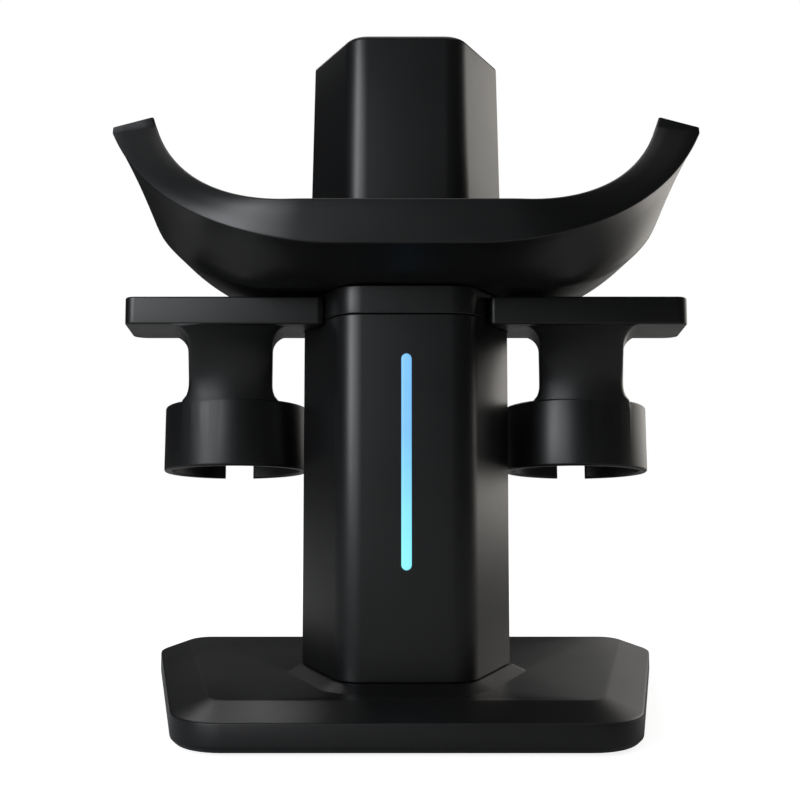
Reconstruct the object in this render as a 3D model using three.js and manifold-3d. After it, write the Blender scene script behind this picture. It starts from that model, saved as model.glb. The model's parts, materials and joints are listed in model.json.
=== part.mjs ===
// Stand for a virtual-reality headset and its two hand controllers.
// Millimetres, +Z up, the front faces -Y. The origin is the middle of the footprint, on the floor.
import * as THREE from 'three';
import { mergeVertices } from 'three/addons/utils/BufferGeometryUtils.js';
import Module from 'manifold-3d';

const wasm = await Module();
wasm.setup();

// ---- Driving dimensions -------------------------------------------------------------------

const GAP = 0.3;                // clearance between neighbouring pieces
const SEAM = 0.05;              // hairline where one piece is pressed onto another

// Base: a low trapezoid with a bevelled rim, wider at the back.
const BASE_DEPTH = 160;
const BASE_FRONT_HALF = 84;     // half-width of the front edge, before its corners are rounded
const BASE_BACK_HALF = 128.5;
const BASE_CORNER_R = 23;
const FOOT_PROUD = 1.5;         // how far the rubber feet lift the shell off the floor
const BASE_RIM_Z = 12.3;        // top of the upright rim
const BASE_TOP_Z = 17.2;
const BASE_BEVEL = 14;          // width of the bevel around the top
const BASE_WALL = 2.6;
const BASE_PLATE_T = 2;
const PLINTH_SPREAD = 6.5;      // how far the low plinth spreads around the column's foot
const PLINTH_H = 2.8;

// Column: a hexagon in plan, with a narrow front face and its widest corners at mid-depth.
const COLUMN_Y = -14;
const COLUMN_FRONT_HALF = 25.2;
const COLUMN_WIDE_HALF = 44.5;
const COLUMN_HALF_DEPTH = 38;
const COLUMN_FRONT_R = 12.5;
const COLUMN_WIDE_R = 3;
const COLUMN_WALL = 2.6;
const COLLAR_Z = 164.4;         // seam between the column covers and the collar
const COLLAR_H = 11.4;
const COLLAR_WALL = 3;
const COLLAR_FLOOR = 3;
const NECK_Z = COLLAR_Z + COLLAR_H;   // top of the collar, where the cradle sits

// Mast: the column's section again, smaller and slightly tapered.
const MAST_H = 105.2;
const MAST_TOP_Z = NECK_Z + MAST_H;
const MAST_SIDE_STEP = 1.9;     // how much smaller than the column, at its foot
const MAST_FACE_STEP = 2;
const MAST_DEPTH_STEP = 4;
const MAST_FRONT_R = 13;
const MAST_WIDE_R = 3;
const MAST_DRAFT = 2.1;         // how much each side closes in from foot to top
const MAST_TOP_BEVEL = 2.2;
const MAST_BEVEL_BREAK = 0.3;   // share of the bevel where it flattens, so that it looks rounded
const MAST_WALL = 2.6;
const MAST_SCREW_DROP = 30;     // from the top of the mast to its screws

// Square tube that carries the cradle and the mast.
const POST_SIZE = 26;
const POST_WALL = 2;
const POST_TOP_CLEAR = 22;      // from the top of the post to the top of the mast
const FLANGE_T = 3;
const FLANGE_INSET = 16;        // from the column's front and back faces
const FLANGE_EDGE = 6;          // from the flange's edge to its bolts
const POST_BOLT_R = 2;

// Arms: a flat plate to each side, with a stem and a split ring hanging from it.
const RING_R = 31.9;
const RING_WALL = 3.2;
const RING_H = 29;
const RING_CLEAR = 0.4;         // from the ring to the line of the column's widest corners
const RING_NEAR = 9.9;          // from the column's middle forward to the ring's near side
const RING_DROP = 46.8;         // from the plate's underside to the ring's middle
const RING_TILT = 6;            // degrees, front edge up
const RING_YAW = 7;             // degrees, slot turned outwards
const RING_SLOT = 13.2;
const RING_EDGE = 0.8;          // chamfer on the ring's rims
const ARM_MARGIN = 7.3;         // of the plate beyond the ring
const ARM_DROP = 2.3;           // of the plate's underside below the collar's seam
const ARM_T = 11.6;
const ARM_FRONT = 24;           // from the column's middle to the plate's front edge
const ARM_BACK = 20;
const ARM_FLARE = 8;            // how much further out the plate reaches at the back
const ARM_NEAR_R = 5;
const ARM_FAR_R = 6;
const ARM_ROOT_R = 2.5;         // of the plate's corners beside the column
const TONGUE_WIDTH = 24;
const TONGUE_T = 4.8;
const TONGUE_CLEAR = 4.5;       // from the post to the tongue's end
const TONGUE_GRIP = 10;         // how far it runs into the plate
const STEM_HALF = 17.1;
const STEM_SHIFT = 1.1;         // outwards from the ring's middle
const STEM_T = 6.5;
const STEM_FLARE_TOP = 8.5;
const STEM_FLARE_LOW = 3.5;
const STEM_SET_BACK = 1.2;      // of the stem's foot from the ring's near side
const STEM_SPLAY = 0.006;       // widening of its outer side per millimetre of depth
const STEM_SEAT = 0.6;          // how far its top runs into the plate
const STEM_INSET = 1;           // from the plate's front edge
const STEM_BACK_INSET = 3;

const ARM_Z = COLLAR_Z - ARM_DROP;
const TONGUE_Z = COLLAR_Z + COLLAR_FLOOR + GAP;
const RING_X = COLUMN_WIDE_HALF + RING_CLEAR + RING_R;
const RING_Y = RING_R - RING_NEAR;
const RING_MID_Z = ARM_Z - RING_DROP;
const ARM_SPAN_HALF = RING_X + RING_R + ARM_MARGIN;

// Cradle: a deep curved trough whose front band sweeps back towards the two tips.
const BAND_FLAT = 44.6;         // half-length of the straight stretch of the upper edge
const BAND_R = 63;              // radius of the upper edge's curved ends
const BAND_TOP_Z = NECK_Z + 27.9;
const BAND_TIP_DEG = 73;
const LIP_FLAT = 27.3;          // the same for the band's lower edge, an ellipse
const LIP_RX = 102.9;
const LIP_RZ = 91.9;
const LIP_Z = NECK_Z + 10.7;
const LIP_TIP_DEG = 66;
const TIP_RISE = 2.7;           // upright end of the band's outer edge
const BOWL_FLAT = 54;           // underside at the back
const BOWL_R = 62;
const BOWL_ARC_DEG = 54;
const BOWL_TIP_X = 121;
const BOWL_TIP_Z = NECK_Z + 66.2;
const BOWL_RUN = 27;            // how far back the underside takes to reach its full depth
const BAND_Y = COLUMN_Y - COLUMN_HALF_DEPTH - 25.5;   // front of the band at the middle
const BAND_SWEEP = 38;          // how far back the tips are
const SWEEP_START = 40;
const SWEEP_END = 115;
const CRADLE_BACK_Y = COLUMN_Y + COLUMN_HALF_DEPTH + 5;
const CRADLE_TIP_BACK_Y = COLUMN_Y;
const CRADLE_REAR_T = 14;       // thickness of the trough at the back
const CRADLE_WALL = 2.8;
const LINER_T = 2.4;
const LINER_GAP = 1.1;          // around the liner, whose edge is a visible seam
const LINER_SINK = 0.7;         // how far the liner lies below the rim
const LINER_SKIRT = 9.5;        // from the underside to the liner's lower edge
const LINER_WALL = 2;
const HOLLOW_RISE = 4;          // how far the hollow's tool passes the rim
const SHELL_REACH = 0.96;       // share of the way to a tip where the hollow stops
const LINER_REACH = 0.955;
const CRADLE_STATIONS = 24;     // loft stations on each side of the middle

// Light strip in the column's front.
const LIGHT_WIDTH = 3.8;
const LIGHT_LOW_Z = BASE_TOP_Z + 46.2;
const LIGHT_TOP_Z = COLLAR_Z - 16.1;

// Sprung charging contact in the right wing's inner face.
const CONTACT_SHARE = 0.85;     // how far along the wing, from the middle (0) to the tip (1)
const CONTACT_BACK = 9;         // behind the band's front face
const CONTACT_R = 2.6;
const CONTACT_PROUD = 2.6;
const CONTACT_TRAVEL = 1.5;
const CONTACT_FLANGE_R = 3.6;
const CONTACT_FLANGE_T = 1.2;
const CONTACT_CUP_DEPTH = 6.4;
const CONTACT_CUP_WALL = 1.1;

// ---- Finishes --------------------------------------------------------------------------------

const finish = (color, roughness, metalness = 0) =>
  new THREE.MeshStandardMaterial({ color, roughness, metalness });
const satinBlack = () => finish(0x1d1e20, 0.45);
const innerPlastic = () => finish(0x2c2d2f, 0.7);
const rubber = () => finish(0x141414, 0.9);
const steel = () => finish(0x8c8f93, 0.4, 1);
const zinc = () => finish(0x5c5f63, 0.35, 1);
const gold = () => finish(0xc9a24a, 0.3, 1);
const board = () => finish(0x1f4a36, 0.6);
const lens = () => finish(0x7fd4f7, 0.3);

// ---- Solids ------------------------------------------------------------------------------------

function toSolid(geometry) {
  const bare = geometry.clone();
  bare.deleteAttribute('normal');
  bare.deleteAttribute('uv');
  const merged = mergeVertices(bare, 1e-3);
  return new wasm.Manifold(new wasm.Mesh({
    numProp: 3,
    vertProperties: Float32Array.from(merged.attributes.position.array),
    triVerts: Uint32Array.from(merged.index.array),
  }));
}

function toGeometry(solid) {
  const mesh = solid.getMesh();
  const geometry = new THREE.BufferGeometry();
  geometry.setAttribute('position', new THREE.BufferAttribute(Float32Array.from(mesh.vertProperties), 3));
  geometry.setIndex(new THREE.BufferAttribute(Uint32Array.from(mesh.triVerts), 1));
  return geometry;
}

function cut(body, ...tools) {
  return toGeometry(tools.reduce((solid, tool) => solid.subtract(toSolid(tool)), toSolid(body)));
}

function join(body, ...more) {
  return toGeometry(more.reduce((solid, piece) => solid.add(toSolid(piece)), toSolid(body)));
}

function common(a, b) {
  return toGeometry(toSolid(a).intersect(toSolid(b)));
}

// A box given by its limits on each axis.
function block(x0, x1, y0, y1, z0, z1) {
  return new THREE.BoxGeometry(x1 - x0, y1 - y0, z1 - z0)
    .translate((x0 + x1) / 2, (y0 + y1) / 2, (z0 + z1) / 2);
}

// An upright cylinder.
function rod(radius, x, y, z0, z1, sides = 16) {
  return new THREE.CylinderGeometry(radius, radius, z1 - z0, sides)
    .rotateX(Math.PI / 2)
    .translate(x, y, (z0 + z1) / 2);
}

// Closed rings of equal length, joined in order and capped with fans.
function loft(rings) {
  const count = rings[0].length;
  const points = rings.flat();
  const faces = [];
  for (let k = 0; k + 1 < rings.length; k += 1) {
    for (let i = 0; i < count; i += 1) {
      const a = k * count + i;
      const b = k * count + (i + 1) % count;
      faces.push(a, b, b + count, a, b + count, a + count);
    }
  }
  const last = (rings.length - 1) * count;
  for (let i = 1; i + 1 < count; i += 1) {
    faces.push(0, i + 1, i, last, last + i, last + i + 1);
  }
  const geometry = new THREE.BufferGeometry().setFromPoints(points);
  geometry.setIndex(faces);
  return geometry;
}

// ---- Outlines ------------------------------------------------------------------------------------

// Moves each side of a convex, counter-clockwise outline outwards; a negative distance shrinks it.
function grow(corners, distance) {
  return corners.map((corner, i) => {
    const before = corners[(i + corners.length - 1) % corners.length];
    const after = corners[(i + 1) % corners.length];
    const inX = corner.x - before.x;
    const inY = corner.y - before.y;
    const outX = after.x - corner.x;
    const outY = after.y - corner.y;
    const inLength = Math.hypot(inX, inY);
    const outLength = Math.hypot(outX, outY);
    const n1 = { x: inY / inLength, y: -inX / inLength };
    const n2 = { x: outY / outLength, y: -outX / outLength };
    const scale = distance / (1 + n1.x * n2.x + n1.y * n2.y);
    return {
      x: corner.x + (n1.x + n2.x) * scale,
      y: corner.y + (n1.y + n2.y) * scale,
      r: Math.max(corner.r + distance, 0.4),
    };
  });
}

// Rounds each corner of a counter-clockwise outline, whether it points out or in, by its own radius.
function rounded(corners, steps = 5) {
  return corners.flatMap((corner, i) => {
    const before = corners[(i + corners.length - 1) % corners.length];
    const after = corners[(i + 1) % corners.length];
    const p = new THREE.Vector2(corner.x, corner.y);
    const a = new THREE.Vector2(before.x, before.y).sub(p).normalize();
    const b = new THREE.Vector2(after.x, after.y).sub(p).normalize();
    const half = Math.acos(THREE.MathUtils.clamp(a.dot(b), -1, 1)) / 2;
    const centre = p.clone().add(a.clone().add(b).normalize().multiplyScalar(corner.r / Math.sin(half)));
    const start = p.clone().addScaledVector(a, corner.r / Math.tan(half)).sub(centre);
    const sweep = (Math.PI - 2 * half) * Math.sign(b.cross(a));
    return Array.from({ length: steps + 1 }, (_, k) =>
      start.clone().rotateAround(new THREE.Vector2(), sweep * k / steps).add(centre));
  });
}

const ringAt = (outline, z) => outline.map((p) => new THREE.Vector3(p.x, p.y, z));

// A prism of one outline between two heights.
function prism(corners, z0, z1, steps) {
  const outline = rounded(corners, steps);
  return loft([ringAt(outline, z0), ringAt(outline, z1)]);
}

function hexagon(frontHalf, wideHalf, halfDepth, frontR, wideR) {
  return [
    { x: -frontHalf, y: COLUMN_Y - halfDepth, r: frontR },
    { x: frontHalf, y: COLUMN_Y - halfDepth, r: frontR },
    { x: wideHalf, y: COLUMN_Y, r: wideR },
    { x: frontHalf, y: COLUMN_Y + halfDepth, r: frontR },
    { x: -frontHalf, y: COLUMN_Y + halfDepth, r: frontR },
    { x: -wideHalf, y: COLUMN_Y, r: wideR },
  ];
}

const COLUMN = hexagon(
  COLUMN_FRONT_HALF, COLUMN_WIDE_HALF, COLUMN_HALF_DEPTH, COLUMN_FRONT_R, COLUMN_WIDE_R);
const MAST = hexagon(
  COLUMN_FRONT_HALF - MAST_FACE_STEP, COLUMN_WIDE_HALF - MAST_SIDE_STEP,
  COLUMN_HALF_DEPTH - MAST_DEPTH_STEP, MAST_FRONT_R, MAST_WIDE_R);
const BASE = [
  { x: -BASE_FRONT_HALF, y: -BASE_DEPTH / 2, r: BASE_CORNER_R },
  { x: BASE_FRONT_HALF, y: -BASE_DEPTH / 2, r: BASE_CORNER_R },
  { x: BASE_BACK_HALF, y: BASE_DEPTH / 2, r: BASE_CORNER_R },
  { x: -BASE_BACK_HALF, y: BASE_DEPTH / 2, r: BASE_CORNER_R },
];

// ---- Base ------------------------------------------------------------------------------------------

const CAVITY_TOP_Z = BASE_TOP_Z - BASE_WALL;
const PLATE_TOP_Z = FOOT_PROUD + BASE_PLATE_T;
const BACK_Y = BASE_DEPTH / 2;
const RIM_INSET = 1.6;          // of the shell's lower edge
const RIM_RISE = 1.8;           // from the lower edge to the upright rim
const PLINTH_EDGE = 0.8;        // of the plinth's top around the column
const PLINTH_LEDGE = 3.6;       // width of the ledge under the column's covers
const SOCKET_X = 0;
const SOCKET_HALF = 4.5;
const SOCKET_T = 3.2;
const SOCKET_LENGTH = 7.5;
const SOCKET_INSET = 0.6;       // of its mouth in the shell's back
const SOCKET_SHEET = 0.4;
const SOCKET_END = 1.5;         // solid inner end of the socket
const SOCKET_TONGUE_T = 0.7;
const SOCKET_Z = PLATE_TOP_Z + 2.9;
const BOARD_T = 1.6;
const BOARD_DEPTH = 20;
const BOARD_INSET = 5;          // from the shell's back face
const BOARD_SIDE = 10;          // beyond the socket and the button
const BUTTON_X = 26;
const BUTTON_R = 3.6;
const BUTTON_Z = SOCKET_Z + SOCKET_T / 2;
const BUTTON_LENGTH = 6;
const BUTTON_EDGE = 0.5;        // chamfer around its face
const BUTTON_TRAVEL = 0.8;
const SWITCH_Y = BACK_Y - BUTTON_LENGTH - BUTTON_TRAVEL - GAP;
const SWITCH_SIZE = 6;
const SWITCH_DEPTH = 3.5;
const FLANGE_HALF_X = COLUMN_FRONT_HALF;
const FLANGE_HALF_Y = COLUMN_HALF_DEPTH - FLANGE_INSET;
const POST_BOLT_X = (POST_SIZE / 2 + FLANGE_HALF_X) / 2;
const POST_BOLT_Y = FLANGE_HALF_Y - FLANGE_EDGE;
const LEAD_R = 1.2;
const LEAD_HOLE_R = LEAD_R + 1.4;
const LEAD_HOLE_Y = COLUMN_Y - FLANGE_HALF_Y - 5;
const SCREW_R = 1.5;
const SCREW_HEAD_R = 2.8;
const SCREW_HEAD_T = 1.4;
const BASE_SCREW_LENGTH = 8;
const HEAD_POCKET = 0.9;        // depth of the recess for a base screw's head
const BOSS_R = 3.6;
const SCREW_INSET = 31.3;       // from the base's side to its screws
const SCREW_EDGE = 18;          // from its front and back edges
const SCREW_MID_Y = 5;
const FOOT_R = 9;
const FOOT_INSET = 36;
const FOOT_EDGE = 35;
const BALLAST_T = 6;
const BALLAST_X = 22;           // from the middle to each weight, past the lead and the bolts
const BALLAST_CLEAR = 8;        // from the screw bosses and the board
const BALLAST_R = 3;

// The same place on both sides of something centred on x = 0.
const bothSides = (x, y) => [[-x, y], [x, y]];
const baseHalfAt = (y) => THREE.MathUtils.mapLinear(y, -BACK_Y, BACK_Y, BASE_FRONT_HALF, BASE_BACK_HALF);
const postBolts = [-1, 1].flatMap((j) => bothSides(POST_BOLT_X, COLUMN_Y + j * POST_BOLT_Y));
const baseScrewSpots = [SCREW_EDGE - BACK_Y, SCREW_MID_Y, BACK_Y - SCREW_EDGE]
  .flatMap((y) => bothSides(baseHalfAt(y) - SCREW_INSET, y));
const footSpots = [FOOT_EDGE - BACK_Y, BACK_Y - FOOT_EDGE]
  .flatMap((y) => bothSides(baseHalfAt(y) - FOOT_INSET, y));

function baseShell() {
  const foot = grow(BASE, -RIM_INSET);
  const top = grow(BASE, -BASE_BEVEL);
  const body = loft([
    ringAt(rounded(foot, 6), FOOT_PROUD),
    ringAt(rounded(BASE, 6), FOOT_PROUD + RIM_RISE),
    ringAt(rounded(BASE, 6), BASE_RIM_Z),
    ringAt(rounded(top, 6), BASE_TOP_Z),
  ]);
  const plinth = loft([
    ringAt(rounded(grow(COLUMN, PLINTH_SPREAD)), BASE_TOP_Z - 1),
    ringAt(rounded(grow(COLUMN, PLINTH_SPREAD)), BASE_TOP_Z),
    ringAt(rounded(grow(COLUMN, PLINTH_EDGE)), BASE_TOP_Z + PLINTH_H),
  ]);
  const well = prism(grow(COLUMN, -PLINTH_LEDGE), BASE_TOP_Z, BASE_TOP_Z + PLINTH_H + 1);
  const hollow = loft([
    ringAt(rounded(grow(foot, -BASE_WALL), 6), FOOT_PROUD - 1),
    ringAt(rounded(grow(BASE, -BASE_WALL), 6), FOOT_PROUD + RIM_RISE),
    ringAt(rounded(grow(BASE, -BASE_WALL), 6), BASE_RIM_Z - BASE_WALL),
    ringAt(rounded(grow(top, -BASE_WALL), 6), CAVITY_TOP_Z),
  ]);
  const bosses = baseScrewSpots.map(([x, y]) =>
    rod(BOSS_R, x, y, PLATE_TOP_Z + GAP, CAVITY_TOP_Z + 0.5, 12));
  const bossHoles = baseScrewSpots.map(([x, y]) =>
    rod(SCREW_R + GAP, x, y, PLATE_TOP_Z - 1, CAVITY_TOP_Z - 1, 12));
  const boltHoles = postBolts.map(([x, y]) =>
    rod(POST_BOLT_R + GAP, x, y, CAVITY_TOP_Z - 1, BASE_TOP_Z + 1, 12));
  const wireHole = rod(LEAD_HOLE_R, 0, LEAD_HOLE_Y, CAVITY_TOP_Z - 1, BASE_TOP_Z + 1);
  const socketHole = block(
    SOCKET_X - SOCKET_HALF - GAP, SOCKET_X + SOCKET_HALF + GAP, BACK_Y - BASE_WALL - 2, BACK_Y + 1,
    SOCKET_Z - GAP, SOCKET_Z + SOCKET_T + GAP);
  const buttonHole = new THREE.CylinderGeometry(BUTTON_R + GAP, BUTTON_R + GAP, 16, 20)
    .translate(BUTTON_X, BACK_Y, BUTTON_Z);
  return cut(
    join(cut(join(body, plinth), well, hollow), ...bosses),
    ...bossHoles, ...boltHoles, wireHole, socketHole, buttonHole);
}

function basePlate() {
  const outline = grow(BASE, -RIM_INSET - BASE_WALL - GAP);
  const holes = baseScrewSpots.flatMap(([x, y]) => [
    rod(SCREW_R + GAP, x, y, 0, PLATE_TOP_Z + 1, 12),
    rod(SCREW_HEAD_R + GAP, x, y, 0, FOOT_PROUD + HEAD_POCKET, 12),
  ]);
  return cut(prism(outline, FOOT_PROUD, PLATE_TOP_Z, 6), ...holes);
}

function foot([x, y]) {
  return rod(FOOT_R, x, y, 0, FOOT_PROUD - SEAM, 28);
}

function ballast(side) {
  const x0 = BALLAST_X;
  const x1 = baseHalfAt(SCREW_MID_Y) - SCREW_INSET - BOSS_R - BALLAST_CLEAR;
  const y0 = SCREW_EDGE - BACK_Y + BOSS_R + BALLAST_CLEAR;
  const y1 = BACK_Y - BOARD_INSET - BOARD_DEPTH - BALLAST_CLEAR;
  const middle = side * (x0 + x1) / 2;
  const half = (x1 - x0) / 2;
  const outline = [
    { x: middle - half, y: y0, r: BALLAST_R },
    { x: middle + half, y: y0, r: BALLAST_R },
    { x: middle + half, y: y1, r: BALLAST_R },
    { x: middle - half, y: y1, r: BALLAST_R },
  ];
  return prism(outline, PLATE_TOP_Z + GAP, PLATE_TOP_Z + GAP + BALLAST_T, 3);
}

// A pan-head screw pointing along +Z, its head at the bottom.
function upScrew(x, y, headZ, length, radius = SCREW_R, headR = SCREW_HEAD_R) {
  return join(
    rod(headR, x, y, headZ, headZ + SCREW_HEAD_T, 14),
    rod(radius, x, y, headZ + SCREW_HEAD_T - 0.2, headZ + length, 10));
}

// Notched where the button's travel reaches over it.
function chargeBoard() {
  const back = BACK_Y - BOARD_INSET;
  const top = SOCKET_Z - GAP;
  const sheet = block(
    SOCKET_X - SOCKET_HALF - BOARD_SIDE, BUTTON_X + BUTTON_R + BOARD_SIDE,
    back - BOARD_DEPTH, back, top - BOARD_T, top);
  const notch = block(
    BUTTON_X - BUTTON_R - 1, BUTTON_X + BUTTON_R + 1, SWITCH_Y, back + 1, top - BOARD_T - 1, top + 1);
  return cut(sheet, notch);
}

function usbSocket() {
  const front = BACK_Y - SOCKET_INSET;
  const inside = SOCKET_HALF - SOCKET_SHEET;
  const shell = block(
    SOCKET_X - SOCKET_HALF, SOCKET_X + SOCKET_HALF, front - SOCKET_LENGTH, front,
    SOCKET_Z, SOCKET_Z + SOCKET_T);
  const mouth = block(
    SOCKET_X - inside, SOCKET_X + inside, front - SOCKET_LENGTH + SOCKET_END, front + 1,
    SOCKET_Z + SOCKET_SHEET, SOCKET_Z + SOCKET_T - SOCKET_SHEET);
  const tongue = block(
    SOCKET_X - inside + 1, SOCKET_X + inside - 1, front - SOCKET_LENGTH + 1, front - 1,
    BUTTON_Z - SOCKET_TONGUE_T / 2, BUTTON_Z + SOCKET_TONGUE_T / 2);
  return join(cut(shell, mouth), tongue);
}

function lightButton() {
  const side = [
    [0, -BUTTON_LENGTH], [BUTTON_R, -BUTTON_LENGTH], [BUTTON_R, -BUTTON_EDGE],
    [BUTTON_R - BUTTON_EDGE, 0], [0, 0],
  ].map(([x, y]) => new THREE.Vector2(x, y));
  return new THREE.LatheGeometry(side, 24).translate(BUTTON_X, BACK_Y, BUTTON_Z);
}

function buttonSwitch() {
  return block(
    BUTTON_X - SWITCH_SIZE / 2, BUTTON_X + SWITCH_SIZE / 2, SWITCH_Y - SWITCH_DEPTH, SWITCH_Y,
    SOCKET_Z, SOCKET_Z + SOCKET_T);
}

// ---- Post, column and collar ---------------------------------------------------------------------------

const FLANGE_Z = BASE_TOP_Z + GAP;
const COVER_Z = BASE_TOP_Z + PLINTH_H + GAP;
const POST_TOP_Z = MAST_TOP_Z - POST_TOP_CLEAR;

function corePost() {
  const h = POST_SIZE / 2;
  const inner = h - POST_WALL;
  const tube = block(-h, h, COLUMN_Y - h, COLUMN_Y + h, FLANGE_Z, POST_TOP_Z);
  const flange = block(
    -FLANGE_HALF_X, FLANGE_HALF_X, COLUMN_Y - FLANGE_HALF_Y, COLUMN_Y + FLANGE_HALF_Y,
    FLANGE_Z, FLANGE_Z + FLANGE_T);
  const bore = block(-inner, inner, COLUMN_Y - inner, COLUMN_Y + inner, FLANGE_Z - 1, POST_TOP_Z + 1);
  const holes = postBolts.map(([x, y]) =>
    rod(POST_BOLT_R + GAP, x, y, FLANGE_Z - 1, FLANGE_Z + FLANGE_T + 1, 12));
  return cut(join(tube, flange), bore, ...holes);
}

function postBolt([x, y]) {
  const head = CAVITY_TOP_Z - GAP - SCREW_HEAD_T;
  return upScrew(x, y, head, FLANGE_Z + FLANGE_T - head, POST_BOLT_R, POST_BOLT_R + SCREW_HEAD_T);
}

// One half of a hollow hexagonal cover, kept on the given side of the plane through its widest corners.
function halfCover(body, side) {
  const reach = 2 * COLUMN_WIDE_HALF;
  const y0 = side < 0 ? COLUMN_Y - reach : COLUMN_Y + GAP / 2;
  const y1 = side < 0 ? COLUMN_Y - GAP / 2 : COLUMN_Y + reach;
  return common(body, block(-reach, reach, y0, y1, 0, MAST_TOP_Z + 1));
}

const SCREW_POST_R = 4;
const SCREW_SOCKET_R = 5.4;
const COVER_SCREW_R = 1.5;
const COVER_HEAD_R = 3;
const COVER_HEAD_T = 2.2;
const COVER_DRIVE_R = 1.3;      // hexagonal recess in the head
const SCREW_SKIN = 4;           // left in front of a screw's pilot hole
const COVER_SCREW_X = POST_SIZE / 2 + COVER_SCREW_R + 1.5;
const SCREW_POST_Y = COLUMN_Y - POST_SIZE / 2 - 3;   // end of the front cover's posts
const SCREW_FLOOR_Y = COLUMN_Y + POST_SIZE / 2 + 1;  // end of the rear cover's sockets
const SCREW_SEAT_Y = SCREW_FLOOR_Y + 2;
const COLUMN_SCREW_END = 28;    // from the column's foot and from its seam to the screws
const columnScrewSpots = [COVER_Z + COLUMN_SCREW_END, COLLAR_Z - COLUMN_SCREW_END]
  .flatMap((z) => bothSides(COVER_SCREW_X, z));
const mastScrewSpots = bothSides(COVER_SCREW_X, MAST_TOP_Z - MAST_SCREW_DROP);

// A bar along Y between two depths.
function bar(radius, x, z, y0, y1, sides = 12) {
  return new THREE.CylinderGeometry(radius, radius, y1 - y0, sides).translate(x, (y0 + y1) / 2, z);
}

// Front cover with a post behind its face for each screw.
function screwedFront(body, faceY, spots) {
  const posts = spots.map(([x, z]) => bar(SCREW_POST_R, x, z, faceY + 1, SCREW_POST_Y));
  const pilots = spots.map(([x, z]) =>
    bar(COVER_SCREW_R + GAP, x, z, faceY + SCREW_SKIN, SCREW_POST_Y + 1, 10));
  return cut(join(halfCover(body, -1), ...posts), ...pilots);
}

// Rear cover with a deep recess for each screw's head.
function screwedRear(body, faceY, spots) {
  const sockets = spots.map(([x, z]) => bar(SCREW_SOCKET_R, x, z, SCREW_FLOOR_Y, faceY - 1, 16));
  const recesses = spots.map(([x, z]) => bar(COVER_HEAD_R + 2 * GAP, x, z, SCREW_SEAT_Y, faceY + 2, 16));
  const holes = spots.map(([x, z]) =>
    bar(COVER_SCREW_R + GAP, x, z, SCREW_FLOOR_Y - 1, SCREW_SEAT_Y + 1));
  return cut(join(halfCover(body, 1), ...sockets), ...recesses, ...holes);
}

// The long screw that pulls a rear cover onto its front cover.
function coverScrew([x, z], frontY) {
  const seat = SCREW_SEAT_Y + GAP;
  const head = bar(COVER_HEAD_R, x, z, seat, seat + COVER_HEAD_T, 16);
  const drive = bar(COVER_DRIVE_R, x, z, seat + COVER_HEAD_T / 2, seat + COVER_HEAD_T + 1, 6);
  const shank = bar(COVER_SCREW_R, x, z, frontY + SCREW_SKIN + 2, seat + COVER_HEAD_T / 4, 10);
  return cut(join(head, shank), drive);
}

function columnTube() {
  return cut(
    prism(COLUMN, COVER_Z, COLLAR_Z - GAP),
    prism(grow(COLUMN, -COLUMN_WALL), COVER_Z - 1, COLLAR_Z + 1));
}

// Outline of the light strip's slot or of the guide that fills it.
function lightOutline(clearance, y0, y1) {
  const shape = new THREE.Shape();
  const r = LIGHT_WIDTH / 2 + clearance;
  shape.absarc(0, LIGHT_LOW_Z + LIGHT_WIDTH / 2, r, Math.PI, 2 * Math.PI);
  shape.absarc(0, LIGHT_TOP_Z - LIGHT_WIDTH / 2, r, 0, Math.PI);
  return new THREE.ExtrudeGeometry(shape, { depth: y1 - y0, bevelEnabled: false, curveSegments: 8 })
    .rotateX(Math.PI / 2)
    .translate(0, y1, 0);
}

const FRONT_FACE_Y = COLUMN_Y - COLUMN_HALF_DEPTH;
const BACK_FACE_Y = COLUMN_Y + COLUMN_HALF_DEPTH;

function columnFront() {
  return cut(
    screwedFront(columnTube(), FRONT_FACE_Y, columnScrewSpots),
    lightOutline(GAP / 2, FRONT_FACE_Y - 4, FRONT_FACE_Y + 8));
}

function columnRear() {
  return screwedRear(columnTube(), BACK_FACE_Y, columnScrewSpots);
}

const RAIL_HALF = 5;
const RAIL_T = 1.6;
const RAIL_END = 3;             // of the rail past the strip's ends
const BOARD_SHEET = 1;
const CHIP_SIZE = 2.8;
const CHIP_H = 0.7;
const LED_COUNT = 9;
const RAIL_Y = FRONT_FACE_Y + COLUMN_WALL + GAP;
const CHIP_Y = RAIL_Y + RAIL_T + GAP;
const LED_Y = CHIP_Y + CHIP_H;

function lightGuide() {
  const strip = lightOutline(-GAP / 2, FRONT_FACE_Y + SEAM, RAIL_Y + RAIL_T / 2);
  const rail = block(
    -RAIL_HALF, RAIL_HALF, RAIL_Y, RAIL_Y + RAIL_T, LIGHT_LOW_Z - RAIL_END, LIGHT_TOP_Z + RAIL_END);
  return join(strip, rail);
}

function ledBoard() {
  const h = CHIP_SIZE / 2;
  const strip = block(
    -RAIL_HALF, RAIL_HALF, LED_Y, LED_Y + BOARD_SHEET, LIGHT_LOW_Z - RAIL_END, LIGHT_TOP_Z + RAIL_END);
  const chips = Array.from({ length: LED_COUNT }, (_, i) => {
    const z = THREE.MathUtils.lerp(LIGHT_LOW_Z + CHIP_SIZE, LIGHT_TOP_Z - CHIP_SIZE, i / (LED_COUNT - 1));
    return block(-h, h, CHIP_Y, LED_Y + 0.3, z - h, z + h);
  });
  return join(strip, ...chips);
}

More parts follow.
